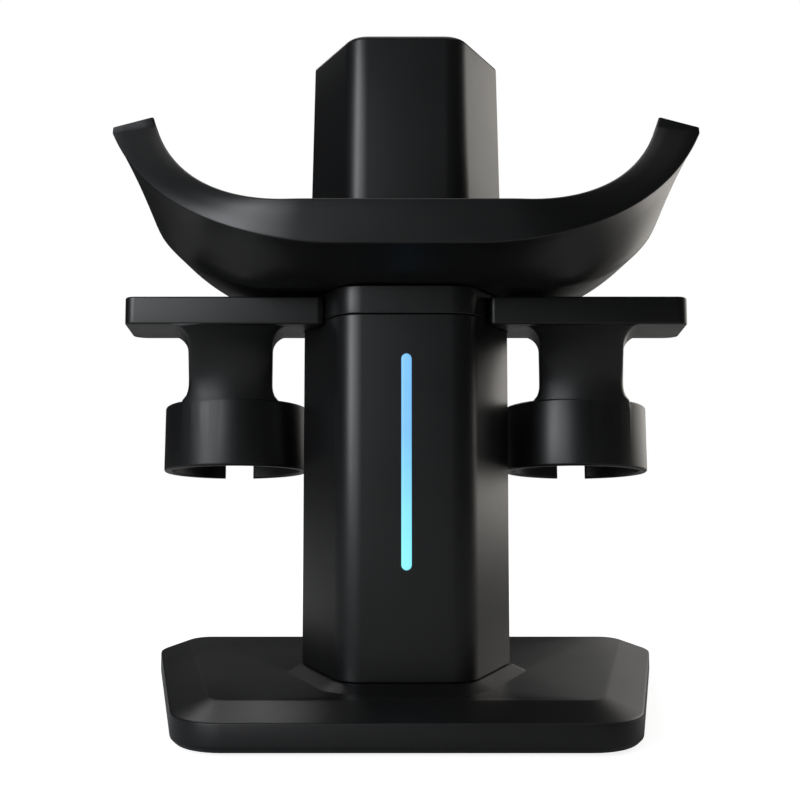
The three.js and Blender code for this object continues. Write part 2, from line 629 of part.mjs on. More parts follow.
// The lead from the charging board, along the base and up to the foot of the light board.
function ledLead() {
  const startY = BACK_Y - BOARD_INSET - BOARD_DEPTH - GAP;
  const flangeFront = COLUMN_Y - FLANGE_HALF_Y;
  const endZ = LIGHT_LOW_Z - RAIL_END - GAP;
  const route = new THREE.CatmullRomCurve3([
    [startY, SOCKET_Z], [startY - 24, SOCKET_Z + 0.5], [COLUMN_Y + 4, SOCKET_Z + 0.5],
    [flangeFront + 1, SOCKET_Z + 1], [LEAD_HOLE_Y, SOCKET_Z + 8],
    [LEAD_HOLE_Y, BASE_TOP_Z + 12], [LED_Y + LEAD_R - 0.7, endZ - 12], [LED_Y + LEAD_R - 0.7, endZ],
  ].map(([y, z]) => new THREE.Vector3(0, y, z)));
  const section = new THREE.Shape().absarc(0, 0, LEAD_R, 0, 2 * Math.PI);
  return new THREE.ExtrudeGeometry(section, {
    steps: 26, bevelEnabled: false, curveSegments: 4, extrudePath: route,
  });
}

const CRADLE_BOLT_X = POST_SIZE / 2 + 5;
const CRADLE_BOLT_Y = COLUMN_HALF_DEPTH - MAST_DEPTH_STEP - 10;
const ARM_SCREW_X = COLUMN_WIDE_HALF - 16.5;
const ARM_SCREW_Y = TONGUE_WIDTH / 2 - 5;
const SCREW_BITE = 7;           // length of an arm screw
const cradleBoltSpots = [-1, 1].flatMap((j) => bothSides(CRADLE_BOLT_X, COLUMN_Y + j * CRADLE_BOLT_Y));
const armScrewSpots = [-1, 1].flatMap((j) => bothSides(ARM_SCREW_X, COLUMN_Y + j * ARM_SCREW_Y));

// Square clearance hole around the post between two heights.
function postHole(z0, z1) {
  const h = POST_SIZE / 2 + GAP;
  return block(-h, h, COLUMN_Y - h, COLUMN_Y + h, z0, z1);
}

function collar() {
  const floorZ = COLLAR_Z + COLLAR_FLOOR;
  const body = prism(COLUMN, COLLAR_Z, NECK_Z - GAP);
  const well = prism(grow(COLUMN, -COLLAR_WALL), floorZ, NECK_Z + 1);
  const window = block(
    -2 * COLUMN_WIDE_HALF, 2 * COLUMN_WIDE_HALF,
    COLUMN_Y - TONGUE_WIDTH / 2 - GAP, COLUMN_Y + TONGUE_WIDTH / 2 + GAP,
    floorZ, TONGUE_Z + TONGUE_T + GAP);
  const holes = armScrewSpots.flatMap(([x, y]) => [
    rod(SCREW_R + GAP, x, y, COLLAR_Z - 1, floorZ + 1, 12),
    rod(SCREW_HEAD_R + GAP, x, y, COLLAR_Z - 1, COLLAR_Z + SCREW_HEAD_T, 12),
  ]);
  const bosses = cradleBoltSpots.map(([x, y]) => rod(BOSS_R, x, y, floorZ - 1, NECK_Z - GAP, 12));
  const bores = cradleBoltSpots.map(([x, y]) => rod(SCREW_R + GAP, x, y, floorZ + 1, NECK_Z + 1, 12));
  const cup = cut(body, well, postHole(COLLAR_Z - 1, NECK_Z + 1), window, ...holes);
  return cut(join(cup, ...bosses), ...bores);
}

// ---- Arms and controller rings --------------------------------------------------------------------------

// The ring and its stem in their own frame: the ring's axis is Z and its front is -Y.
function ringBody() {
  const inner = RING_R - RING_WALL;
  const half = RING_H / 2;
  const profile = [
    [inner, RING_EDGE - half], [inner + RING_EDGE, -half], [RING_R - RING_EDGE, -half],
    [RING_R, RING_EDGE - half], [RING_R, half - RING_EDGE], [RING_R - RING_EDGE, half],
    [inner + RING_EDGE, half], [inner, half - RING_EDGE], [inner, RING_EDGE - half],
  ].map(([x, y]) => new THREE.Vector2(x, y));
  const ring = new THREE.LatheGeometry(profile, 48).rotateX(Math.PI / 2);
  const slot = block(-RING_SLOT / 2, RING_SLOT / 2, inner - 5, RING_R + 4, -RING_H, RING_H);
  return cut(ring, slot).rotateX(-THREE.MathUtils.degToRad(RING_TILT));
}

// Front view of the stem, with flares into the plate above and the ring below.
function stemFront(topZ, lowZ) {
  const s = new THREE.Shape();
  const wide = STEM_HALF + STEM_FLARE_TOP;
  const foot = STEM_HALF + STEM_FLARE_LOW;
  const footTop = lowZ + STEM_FLARE_LOW * 1.6;
  s.moveTo(-foot, lowZ - RING_EDGE * 5);
  s.lineTo(foot, lowZ - RING_EDGE * 5);
  s.lineTo(foot, lowZ);
  s.quadraticCurveTo(STEM_HALF, lowZ, STEM_HALF, footTop);
  s.lineTo(STEM_HALF, topZ - STEM_FLARE_TOP);
  s.quadraticCurveTo(STEM_HALF, topZ, wide, topZ);
  s.lineTo(wide, topZ + ARM_T / 4);
  s.lineTo(-wide, topZ + ARM_T / 4);
  s.lineTo(-wide, topZ);
  s.quadraticCurveTo(-STEM_HALF, topZ, -STEM_HALF, topZ - STEM_FLARE_TOP);
  s.lineTo(-STEM_HALF, footTop);
  s.quadraticCurveTo(-STEM_HALF, lowZ, -foot, lowZ);
  return new THREE.ExtrudeGeometry(s, { depth: 2 * RING_R, bevelEnabled: false, curveSegments: 5 })
    .rotateX(Math.PI / 2);
}

// Side view of the stem: a deep bracket under the plate that curves in to the ring's near wall.
function stemSide(topZ, lowZ, frontY, backY) {
  const near = STEM_SET_BACK - RING_R;
  const far = STEM_T - RING_R;
  const width = 4 * STEM_HALF;
  const fall = topZ - lowZ;
  const s = new THREE.Shape();
  s.moveTo(frontY, topZ + ARM_T / 4);
  s.lineTo(frontY, topZ);
  s.bezierCurveTo(frontY + fall * 0.24, topZ - fall * 0.24, near - 1, lowZ + fall * 0.6, near, lowZ);
  s.lineTo(near + 1, lowZ - RING_EDGE * 5);
  s.lineTo(RING_WALL - RING_R, lowZ - RING_EDGE * 5);
  s.lineTo(far, lowZ + 1);
  s.bezierCurveTo(far + 1, lowZ + fall * 0.5, backY - fall * 0.3, topZ - fall * 0.15, backY, topZ);
  s.lineTo(backY, topZ + ARM_T / 4);
  return new THREE.ExtrudeGeometry(s, { depth: width, bevelEnabled: false, curveSegments: 8 })
    .rotateX(Math.PI / 2)
    .rotateZ(Math.PI / 2)
    .translate(-width / 2, 0, 0);
}

// Widens whatever lies to the right of x = 0 with its depth behind a starting plane.
function splay(geometry, frontY, rate) {
  const place = geometry.attributes.position;
  for (let i = 0; i < place.count; i += 1) {
    const x = place.getX(i);
    if (x > 0) place.setX(i, x * (1 + rate * Math.max(0, place.getY(i) - frontY)));
  }
  return geometry;
}

// Half-width of the column's outline, with a clearance, at a depth behind or before its middle.
function columnHalfAt(offset, clearance) {
  const slope = (COLUMN_WIDE_HALF - COLUMN_FRONT_HALF) / COLUMN_HALF_DEPTH;
  return COLUMN_WIDE_HALF - Math.abs(offset) * slope + clearance * Math.hypot(1, slope);
}

// The plate around the column's side; it starts at a corner that sees the whole outline.
const armPlate = [
  { x: ARM_SPAN_HALF, y: COLUMN_Y - ARM_FRONT, r: ARM_NEAR_R },
  { x: ARM_SPAN_HALF + ARM_FLARE, y: COLUMN_Y + ARM_BACK, r: ARM_FAR_R },
  { x: columnHalfAt(ARM_BACK, GAP), y: COLUMN_Y + ARM_BACK, r: ARM_ROOT_R },
  { x: columnHalfAt(0, GAP), y: COLUMN_Y, r: COLUMN_WIDE_R + GAP },
  { x: columnHalfAt(ARM_FRONT, GAP), y: COLUMN_Y - ARM_FRONT, r: ARM_ROOT_R },
];

// The right-hand holder; the left one is its mirror image.
function armRight() {
  const rootX = TONGUE_CLEAR + POST_SIZE / 2;
  const body = prism(armPlate, ARM_Z, ARM_Z + ARM_T, 6);
  const tongue = block(
    rootX, COLUMN_WIDE_HALF + TONGUE_GRIP, COLUMN_Y - TONGUE_WIDTH / 2, COLUMN_Y + TONGUE_WIDTH / 2,
    TONGUE_Z, TONGUE_Z + TONGUE_T);
  const holes = armScrewSpots.filter(([x]) => x > 0)
    .map(([x, y]) => rod(SCREW_R + GAP, x, y, TONGUE_Z - 1, TONGUE_Z + TONGUE_T - 1, 12));

  const yaw = -THREE.MathUtils.degToRad(RING_YAW);
  const topZ = ARM_Z + STEM_SEAT - RING_MID_Z;
  const frontY = STEM_INSET - RING_Y - ARM_FRONT;
  const nearRimZ = RING_H / 2 + RING_R * Math.tan(THREE.MathUtils.degToRad(RING_TILT));
  const upright = common(
    stemFront(topZ, nearRimZ),
    stemSide(topZ, nearRimZ, frontY, ARM_BACK - RING_Y - STEM_BACK_INSET));
  const stem = splay(upright, frontY, STEM_SPLAY);
  const holder = join(ringBody(), stem.translate(STEM_SHIFT, 0, 0)).rotateZ(yaw)
    .translate(RING_X, COLUMN_Y + RING_Y, RING_MID_Z);
  const behindFront = block(
    0, 2 * RING_X, COLUMN_Y - ARM_FRONT, COLUMN_Y + RING_Y + 2 * RING_R, 0, ARM_Z + ARM_T / 2);
  return cut(join(body, tongue, common(holder, behindFront)), ...holes);
}

function mirrored(geometry) {
  const other = geometry.clone().scale(-1, 1, 1);
  const index = other.index.array;
  for (let i = 0; i < index.length; i += 3) {
    [index[i + 1], index[i + 2]] = [index[i + 2], index[i + 1]];
  }
  return other;
}

function armScrew([x, y]) {
  return upScrew(x, y, COLLAR_Z - SEAM, SCREW_BITE);
}

// ---- Cradle -----------------------------------------------------------------------------------------------

const smooth = (t) => THREE.MathUtils.smoothstep(t, 0, 1);
const sine = (deg) => Math.sin(THREE.MathUtils.degToRad(deg));
const cosine = (deg) => Math.cos(THREE.MathUtils.degToRad(deg));

// Depth of the band's front face at a distance from the middle.
function bandY(x) {
  const s = THREE.MathUtils.clamp((Math.abs(x) - SWEEP_START) / (SWEEP_END - SWEEP_START), 0, 1.2);
  return BAND_Y + BAND_SWEEP * s * s;
}

// Half of a trough outline: straight for a share of the way, then a curved end.
function trough(s, share, flat, rx, rz, z, degrees) {
  if (s <= share) return new THREE.Vector2(flat * s / share, z);
  const angle = degrees * (s - share) / (1 - share);
  return new THREE.Vector2(flat + rx * sine(angle), z + rz * (1 - cosine(angle)));
}

const upperEdge = (s) => trough(s, 0.34, BAND_FLAT, BAND_R, BAND_R, BAND_TOP_Z, BAND_TIP_DEG);

function lowerEdge(s) {
  const curveEnd = 0.96;
  const point = trough(Math.min(s / curveEnd, 1), 0.2, LIP_FLAT, LIP_RX, LIP_RZ, LIP_Z, LIP_TIP_DEG);
  point.y += TIP_RISE * Math.max(0, (s - curveEnd) / (1 - curveEnd));
  return point;
}

function bowlEdge(s) {
  const arcEnd = 0.82;
  if (s <= arcEnd) return trough(s / arcEnd, 0.48, BOWL_FLAT, BOWL_R, BOWL_R, NECK_Z, BOWL_ARC_DEG);
  const from = trough(1, 0.48, BOWL_FLAT, BOWL_R, BOWL_R, NECK_Z, BOWL_ARC_DEG);
  return from.lerp(new THREE.Vector2(BOWL_TIP_X, BOWL_TIP_Z), (s - arcEnd) / (1 - arcEnd));
}

function backY(s) {
  return THREE.MathUtils.lerp(CRADLE_BACK_Y, CRADLE_TIP_BACK_Y, smooth((s - 0.35) / 0.65));
}

// Upper edge at the back: the bowl's edge moved inwards by the trough's thickness.
function seatEdge(s) {
  const step = 0.01;
  const here = bowlEdge(s);
  const along = bowlEdge(Math.min(s + step, 1)).sub(bowlEdge(Math.max(s - step, 0))).normalize();
  return here.add(new THREE.Vector2(-along.y, along.x).multiplyScalar(CRADLE_REAR_T));
}

// One cross-section of the trough, at a share s from the middle (0) to a tip (1).
// front and back are how far the section is drawn in at its two ends; low and high say where it
// starts and stops between the underside (0) and the seat (1), each with an offset in millimetres.
function cradleSection(s, side, { front, back, low, high }) {
  const top = upperEdge(s);
  const lip = lowerEdge(s);
  const bowl = bowlEdge(s);
  const seat = seatEdge(s);
  const y0 = bandY((top.x + lip.x) / 2);
  const y1 = backY(s);
  const run = Math.min(BOWL_RUN, (y1 - y0) * 0.7);
  const at = (under, upper, y) => {
    const thickness = under.distanceTo(upper);
    const h0 = low / thickness;
    const h1 = 1 + high / thickness;
    const lowPoint = under.clone().lerp(upper, h0);
    const highPoint = under.clone().lerp(upper, h1);
    return {
      low: new THREE.Vector3(side * lowPoint.x, y, lowPoint.y),
      high: new THREE.Vector3(side * highPoint.x, y, highPoint.y),
    };
  };
  const steps = [0, 0.25, 0.5, 0.75, 1];
  const stations = steps.map((t) => {
    const y = y0 + front + (run - front) * t;
    const share = smooth((y - y0) / run);
    return at(lip.clone().lerp(bowl, share), top.clone().lerp(seat, share), y);
  });
  stations.push(at(bowl, seat, y1 - back));
  const lows = stations.map((p) => p.low);
  const highs = stations.map((p) => p.high).reverse();
  return [...lows, ...highs];
}

// The whole trough, from tip to tip, or a shorter one that stops at a share of the way to each tip.
function cradleLoft(reach, limits) {
  const shares = Array.from({ length: CRADLE_STATIONS }, (_, k) => k / CRADLE_STATIONS)
    .filter((s) => s < reach - 0.004);
  const half = (side) => [...shares.slice(1), reach].map((s) => cradleSection(s, side, limits));
  return loft([...half(-1).reverse(), cradleSection(0, 1, limits), ...half(1)]);
}

const MAST_FOOT_Z = NECK_Z + CRADLE_WALL + GAP;
const FLANGE_TOP = -LINER_T - GAP;   // of the contact's flange, under the liner

function cradleShell() {
  const body = cradleLoft(1, { front: 0, back: 0, low: 0, high: 0 });
  const hollow = cradleLoft(SHELL_REACH, {
    front: CRADLE_WALL, back: CRADLE_WALL, low: CRADLE_WALL, high: HOLLOW_RISE,
  });
  const bolts = cradleBoltSpots.map(([x, y]) => rod(SCREW_R + GAP, x, y, NECK_Z - 1, MAST_FOOT_Z + 1, 12));
  return cut(body, hollow, postHole(NECK_Z - 1, MAST_FOOT_Z + 1), ...bolts);
}

// The tray that closes the trough; its edge leaves a fine seam inside the rim.
function cradleLiner() {
  const edge = CRADLE_WALL + LINER_GAP;
  const body = cradleLoft(LINER_REACH, { front: edge, back: edge, low: LINER_SKIRT, high: -LINER_SINK });
  const under = cradleLoft(LINER_REACH + 0.015, {
    front: edge + LINER_WALL, back: edge + LINER_WALL, low: 1, high: -LINER_SINK - LINER_T,
  });
  const mastHole = prism(grow(MAST, GAP), NECK_Z, MAST_TOP_Z);
  const cupR = CONTACT_FLANGE_R + CONTACT_CUP_WALL + 2 * GAP;
  const contactHole = contactPlace(join(
    rod(CONTACT_R + GAP, 0, 0, -CONTACT_CUP_DEPTH, CONTACT_CUP_DEPTH, 20),
    rod(cupR, 0, 0, -2 * CONTACT_CUP_DEPTH, FLANGE_TOP + GAP, 20)));
  return cut(body, under, mastHole, contactHole);
}

function cradleBolt([x, y]) {
  const seat = NECK_Z + CRADLE_WALL + SEAM;
  const head = rod(SCREW_HEAD_R, x, y, seat, seat + SCREW_HEAD_T, 14);
  return join(head, rod(SCREW_R, x, y, COLLAR_Z + COLLAR_FLOOR + 2, seat + SCREW_HEAD_T / 2, 10));
}

// Places a piece modelled on +Z, with the liner's face at z = 0, into the right wing.
function contactPlace(geometry) {
  const seatAt = (s) => {
    const share = smooth(CONTACT_BACK / BOWL_RUN);
    return upperEdge(s).lerp(seatEdge(s), share);
  };
  const here = seatAt(CONTACT_SHARE);
  const along = seatAt(CONTACT_SHARE + 0.01).sub(here).normalize();
  const under = lowerEdge(CONTACT_SHARE).lerp(bowlEdge(CONTACT_SHARE), smooth(CONTACT_BACK / BOWL_RUN));
  const inwards = here.clone().sub(under).normalize();
  const face = here.clone().addScaledVector(inwards, -LINER_SINK);
  const y = bandY((upperEdge(CONTACT_SHARE).x + lowerEdge(CONTACT_SHARE).x) / 2) + CONTACT_BACK;
  return geometry.rotateY(-Math.atan2(along.y, along.x)).translate(face.x, y, face.y);
}

function contactHead() {
  const tip = [
    [0, FLANGE_TOP - CONTACT_FLANGE_T], [CONTACT_FLANGE_R, FLANGE_TOP - CONTACT_FLANGE_T],
    [CONTACT_FLANGE_R, FLANGE_TOP], [CONTACT_R, FLANGE_TOP],
    [CONTACT_R, CONTACT_PROUD - 0.6], [CONTACT_R - 0.6, CONTACT_PROUD], [0, CONTACT_PROUD],
  ].map(([x, y]) => new THREE.Vector2(x, y));
  return contactPlace(new THREE.LatheGeometry(tip, 20).rotateX(Math.PI / 2));
}

function contactCup() {
  const r = CONTACT_FLANGE_R + GAP;
  const wall = [
    [0, FLANGE_TOP - CONTACT_CUP_DEPTH - CONTACT_CUP_WALL],
    [r + CONTACT_CUP_WALL, FLANGE_TOP - CONTACT_CUP_DEPTH - CONTACT_CUP_WALL],
    [r + CONTACT_CUP_WALL, FLANGE_TOP], [r, FLANGE_TOP],
    [r, FLANGE_TOP - CONTACT_CUP_DEPTH], [0, FLANGE_TOP - CONTACT_CUP_DEPTH],
  ].map(([x, y]) => new THREE.Vector2(x, y));
  return contactPlace(new THREE.LatheGeometry(wall, 20).rotateX(Math.PI / 2));
}

// The coil under the head, drawn as the sleeve it fills when it is pressed home.
function contactSpring() {
  const top = FLANGE_TOP - CONTACT_FLANGE_T - CONTACT_TRAVEL - GAP;
  const low = FLANGE_TOP - CONTACT_CUP_DEPTH + GAP;
  const outer = CONTACT_R;
  const inner = CONTACT_R * 0.75;
  const sleeve = [
    [inner, low], [outer, low], [outer, top], [inner, top], [inner, low],
  ].map(([x, y]) => new THREE.Vector2(x, y));
  return contactPlace(new THREE.LatheGeometry(sleeve, 16).rotateX(Math.PI / 2));
}

// ---- Mast --------------------------------------------------------------------------------------------------

function mastTube() {
  const section = (inset, z) => ringAt(rounded(grow(MAST, -inset)), z);
  const foot = MAST_FOOT_Z;
  const bevelBreak = MAST_TOP_BEVEL * MAST_BEVEL_BREAK;
  const body = loft([
    section(0, foot),
    section(MAST_DRAFT, MAST_TOP_Z - MAST_TOP_BEVEL),
    section(MAST_DRAFT + bevelBreak, MAST_TOP_Z - bevelBreak),
    section(MAST_DRAFT + MAST_TOP_BEVEL, MAST_TOP_Z),
  ]);
  const hollow = loft([
    section(MAST_WALL, foot - 1),
    section(MAST_WALL + MAST_DRAFT, MAST_TOP_Z - MAST_WALL),
  ]);
  return cut(body, hollow);
}

const MAST_FRONT_Y = FRONT_FACE_Y + MAST_DEPTH_STEP;
const MAST_BACK_Y = BACK_FACE_Y - MAST_DEPTH_STEP;

// ---- The stand ----------------------------------------------------------------------------------------------

const stand = new THREE.Group();

function add(name, geometry, material) {
  const mesh = new THREE.Mesh(geometry, material);
  mesh.name = name;
  stand.add(mesh);
}

add('base_shell', baseShell(), satinBlack());
add('base_plate', basePlate(), innerPlastic());
footSpots.forEach((spot, i) => add(`foot_${i + 1}`, foot(spot), rubber()));
const BASE_HEAD_Z = FOOT_PROUD + HEAD_POCKET - SCREW_HEAD_T - SEAM;
baseScrewSpots.forEach(([x, y], i) =>
  add(`base_screw_${i + 1}`, upScrew(x, y, BASE_HEAD_Z, BASE_SCREW_LENGTH), steel()));
add('ballast_left', ballast(-1), steel());
add('ballast_right', ballast(1), steel());
add('charge_board', chargeBoard(), board());
add('usb_socket', usbSocket(), steel());
add('light_button', lightButton(), satinBlack());
add('button_switch', buttonSwitch(), innerPlastic());
add('core_post', corePost(), zinc());
postBolts.forEach((spot, i) => add(`post_bolt_${i + 1}`, postBolt(spot), steel()));
add('column_front', columnFront(), satinBlack());
add('column_rear', columnRear(), satinBlack());
columnScrewSpots.forEach((spot, i) =>
  add(`column_screw_${i + 1}`, coverScrew(spot, FRONT_FACE_Y), steel()));
add('light_guide', lightGuide(), lens());
add('led_board', ledBoard(), board());
add('led_lead', ledLead(), rubber());
add('collar', collar(), satinBlack());
add('arm_right', armRight(), satinBlack());
add('arm_left', mirrored(armRight()), satinBlack());
armScrewSpots.forEach((spot, i) => add(`arm_screw_${i + 1}`, armScrew(spot), steel()));
add('cradle_shell', cradleShell(), satinBlack());
add('cradle_liner', cradleLiner(), innerPlastic());
cradleBoltSpots.forEach((spot, i) => add(`cradle_bolt_${i + 1}`, cradleBolt(spot), steel()));
add('contact_head', contactHead(), gold());
add('contact_cup', contactCup(), innerPlastic());
add('contact_spring', contactSpring(), steel());
add('mast_front', screwedFront(mastTube(), MAST_FRONT_Y, mastScrewSpots), satinBlack());
add('mast_rear', screwedRear(mastTube(), MAST_BACK_Y, mastScrewSpots), satinBlack());
mastScrewSpots.forEach((spot, i) =>
  add(`mast_screw_${i + 1}`, coverScrew(spot, MAST_FRONT_Y), steel()));

export default stand;
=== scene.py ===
# Stand for a virtual-reality headset and its two hand controllers, in satin black moulded plastic.
# The sections follow the order in which the stand is put together, from its base to its mast.
import json
import math

import bmesh
import bpy
from mathutils import Matrix, Vector


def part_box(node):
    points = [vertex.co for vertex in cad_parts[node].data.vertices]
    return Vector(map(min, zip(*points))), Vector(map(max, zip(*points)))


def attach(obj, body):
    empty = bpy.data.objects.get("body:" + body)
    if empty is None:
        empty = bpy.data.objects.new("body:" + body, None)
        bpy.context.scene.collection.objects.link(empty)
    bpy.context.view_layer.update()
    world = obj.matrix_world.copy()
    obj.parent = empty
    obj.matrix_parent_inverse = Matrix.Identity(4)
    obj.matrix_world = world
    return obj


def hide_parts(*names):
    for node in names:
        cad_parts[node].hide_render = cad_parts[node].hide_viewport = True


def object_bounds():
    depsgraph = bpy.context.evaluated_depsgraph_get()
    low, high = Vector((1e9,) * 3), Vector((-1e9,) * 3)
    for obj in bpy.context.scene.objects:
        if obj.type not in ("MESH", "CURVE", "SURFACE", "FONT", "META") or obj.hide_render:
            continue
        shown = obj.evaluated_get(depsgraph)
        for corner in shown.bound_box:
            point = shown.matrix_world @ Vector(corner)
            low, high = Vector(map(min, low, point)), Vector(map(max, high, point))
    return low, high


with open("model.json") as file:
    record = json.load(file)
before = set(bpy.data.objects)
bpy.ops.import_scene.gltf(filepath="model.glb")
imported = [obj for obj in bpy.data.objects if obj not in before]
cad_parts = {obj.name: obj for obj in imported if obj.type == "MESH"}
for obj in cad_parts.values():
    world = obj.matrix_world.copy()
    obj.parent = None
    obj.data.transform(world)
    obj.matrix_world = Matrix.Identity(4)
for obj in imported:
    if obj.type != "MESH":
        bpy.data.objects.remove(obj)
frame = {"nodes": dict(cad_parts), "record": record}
cad_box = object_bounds()
mm = 0.001
BODY = "stand"

# ---------------------------------------------------------------------------------------------
# The room: a pale seamless floor, and a camera low in front of the stand.
# The camera stands just left of the middle and looks slightly up.
CAMERA_PLACE = Vector((-2.55 * mm, cad_box[0][1] - 345.5 * mm, 103.9 * mm))
CAMERA_TILT = math.radians(3.974)
FLOOR_HALF = 6


def node(tree, kind, inputs=(), **settings):
    """A new shader or geometry node with its settings and the values of its unlinked inputs."""
    made = tree.nodes.new(kind)
    for name, value in settings.items():
        setattr(made, name, value)
    for socket, value in dict(inputs).items():
        made.inputs[socket].default_value = value
    return made


def wire(tree, *pairs):
    """Links outputs to inputs, pair by pair."""
    for output, into in pairs:
        tree.links.new(output, into)


def sockets_in(tree, *rows):
    """Named inputs of a group, each with its kind of value and its default."""
    for name, kind, value in rows:
        socket = tree.interface.new_socket(name, in_out="INPUT", socket_type="NodeSocket" + kind)
        if value is not None:
            socket.default_value = value


def sockets_out(tree, *rows):
    for name, kind in rows:
        tree.interface.new_socket(name, in_out="OUTPUT", socket_type="NodeSocket" + kind)


floor_corners = [(x * FLOOR_HALF, y * FLOOR_HALF, 0) for x, y in ((-1, -1), (1, -1), (1, 1), (-1, 1))]
floor_mesh = bpy.data.meshes.new("floor")
floor_mesh.from_pydata(floor_corners, [], [(0, 1, 2, 3)])
floor = bpy.data.objects.new("floor", floor_mesh)
bpy.context.collection.objects.link(floor)

# The floor fades to the room's white away from the stand, so that it has no edge.
floor_material = bpy.data.materials.new("pale_floor")
floor_material.use_nodes = True
floor_tree = floor_material.node_tree
floor_shader = floor_tree.nodes["Principled BSDF"]
floor_shader.inputs["Base Color"].default_value = (0.5, 0.5, 0.5, 1)
floor_shader.inputs["Roughness"].default_value = 0.8
floor_shader.inputs["Specular IOR Level"].default_value = 0.0
floor_glow = node(floor_tree, "ShaderNodeEmission")
floor_place = node(floor_tree, "ShaderNodeTexCoord")
floor_distance = node(floor_tree, "ShaderNodeVectorMath", operation="LENGTH")
floor_fade = node(
    floor_tree, "ShaderNodeMapRange",
    {"From Min": 0.12, "From Max": 0.55, "To Min": 0.86, "To Max": 1.05},
    interpolation_type="SMOOTHSTEP")
floor_seen = node(floor_tree, "ShaderNodeLightPath")
floor_both = node(floor_tree, "ShaderNodeAddShader")
floor_mix = node(floor_tree, "ShaderNodeMixShader")
wire(floor_tree,
     (floor_place.outputs["Object"], floor_distance.inputs[0]),
     (floor_distance.outputs["Value"], floor_fade.inputs["Value"]),
     (floor_fade.outputs["Result"], floor_glow.inputs["Strength"]),
     (floor_shader.outputs[0], floor_both.inputs[0]),
     (floor_glow.outputs[0], floor_both.inputs[1]),
     (floor_seen.outputs["Is Camera Ray"], floor_mix.inputs[0]),
     (floor_shader.outputs[0], floor_mix.inputs[1]),
     (floor_both.outputs[0], floor_mix.inputs[2]),
     (floor_mix.outputs[0], floor_tree.nodes["Material Output"].inputs["Surface"]))
floor_mesh.materials.append(floor_material)

camera_data = bpy.data.cameras.new("camera")
camera_data.lens = 42.75
camera_data.sensor_width = 36
camera_data.clip_start = 0.01
camera = bpy.data.objects.new("camera", camera_data)
bpy.context.collection.objects.link(camera)
camera.location = CAMERA_PLACE
camera.rotation_euler = (math.radians(90) + CAMERA_TILT, 0, 0)
bpy.context.scene.camera = camera
bpy.context.scene.view_settings.view_transform = "Standard"

# A white room as the eye sees it, but a dim one as the glossy plastic sees it.
world = bpy.data.worlds.new("room")
bpy.context.scene.world = world
world.use_nodes = True
room = world.node_tree
room.nodes.clear()
seen = node(room, "ShaderNodeBackground", {"Color": (1, 1, 1, 1), "Strength": 1.0})
lit = node(room, "ShaderNodeBackground", {"Color": (0.93, 0.96, 1, 1), "Strength": 0.03})
path = node(room, "ShaderNodeLightPath")
mix = node(room, "ShaderNodeMixShader")
out = node(room, "ShaderNodeOutputWorld")
wire(room,
     (path.outputs["Is Camera Ray"], mix.inputs[0]), (lit.outputs[0], mix.inputs[1]),
     (seen.outputs[0], mix.inputs[2]), (mix.outputs[0], out.inputs["Surface"]))


def softbox(name, place, aim, size, power, color):
    """A rectangular studio light that points at aim."""
    data = bpy.data.lights.new(name, "AREA")
    data.shape = "RECTANGLE"
    data.size, data.size_y = size
    data.energy = power
    data.color = color
    light = bpy.data.objects.new(name, data)
    light.location = place
    light.rotation_euler = (Vector(aim) - Vector(place)).to_track_quat("-Z", "Y").to_euler()
    bpy.context.collection.objects.link(light)


softbox("key_left", (-0.72, -0.75, 0.5), (0, 0, 0.14), (0.3, 0.8), 7.0, (0.93, 0.96, 1.0))
softbox("rim_right", (1.0, 0.62, 0.3), (0, 0, 0.14), (1.0, 1.3), 8.5, (1.0, 0.96, 0.9))
softbox("fill_front", (-0.55, -1.25, 0.3), (0, 0, 0.14), (0.35, 1.2), 4.6, (0.96, 0.98, 1.0))
softbox("back_right", (0.6, 1.4, 0.42), (0, 0, 0.05), (0.5, 0.6), 0.5, (1.0, 0.98, 0.95))
softbox("back_left", (-0.4, 0.8, 1.0), (0, 0, 0.1), (0.4, 0.4), 1.8, (1.0, 1.0, 1.0))
softbox("top", (0.0, 0.1, 1.3), (0, 0, 0.1), (0.9, 0.9), 3, (1.0, 1.0, 1.0))

# ---------------------------------------------------------------------------------------------
# Black plastics: moulded ABS with a fine spark-eroded grain, satin on every outside moulding and
# matt on the pieces that sit inside them.


def new_material(name):
    """A material with only its Principled shader, and the tree it lives in."""
    material = bpy.data.materials.new(name)
    material.use_nodes = True
    return material, material.node_tree, material.node_tree.nodes["Principled BSDF"]


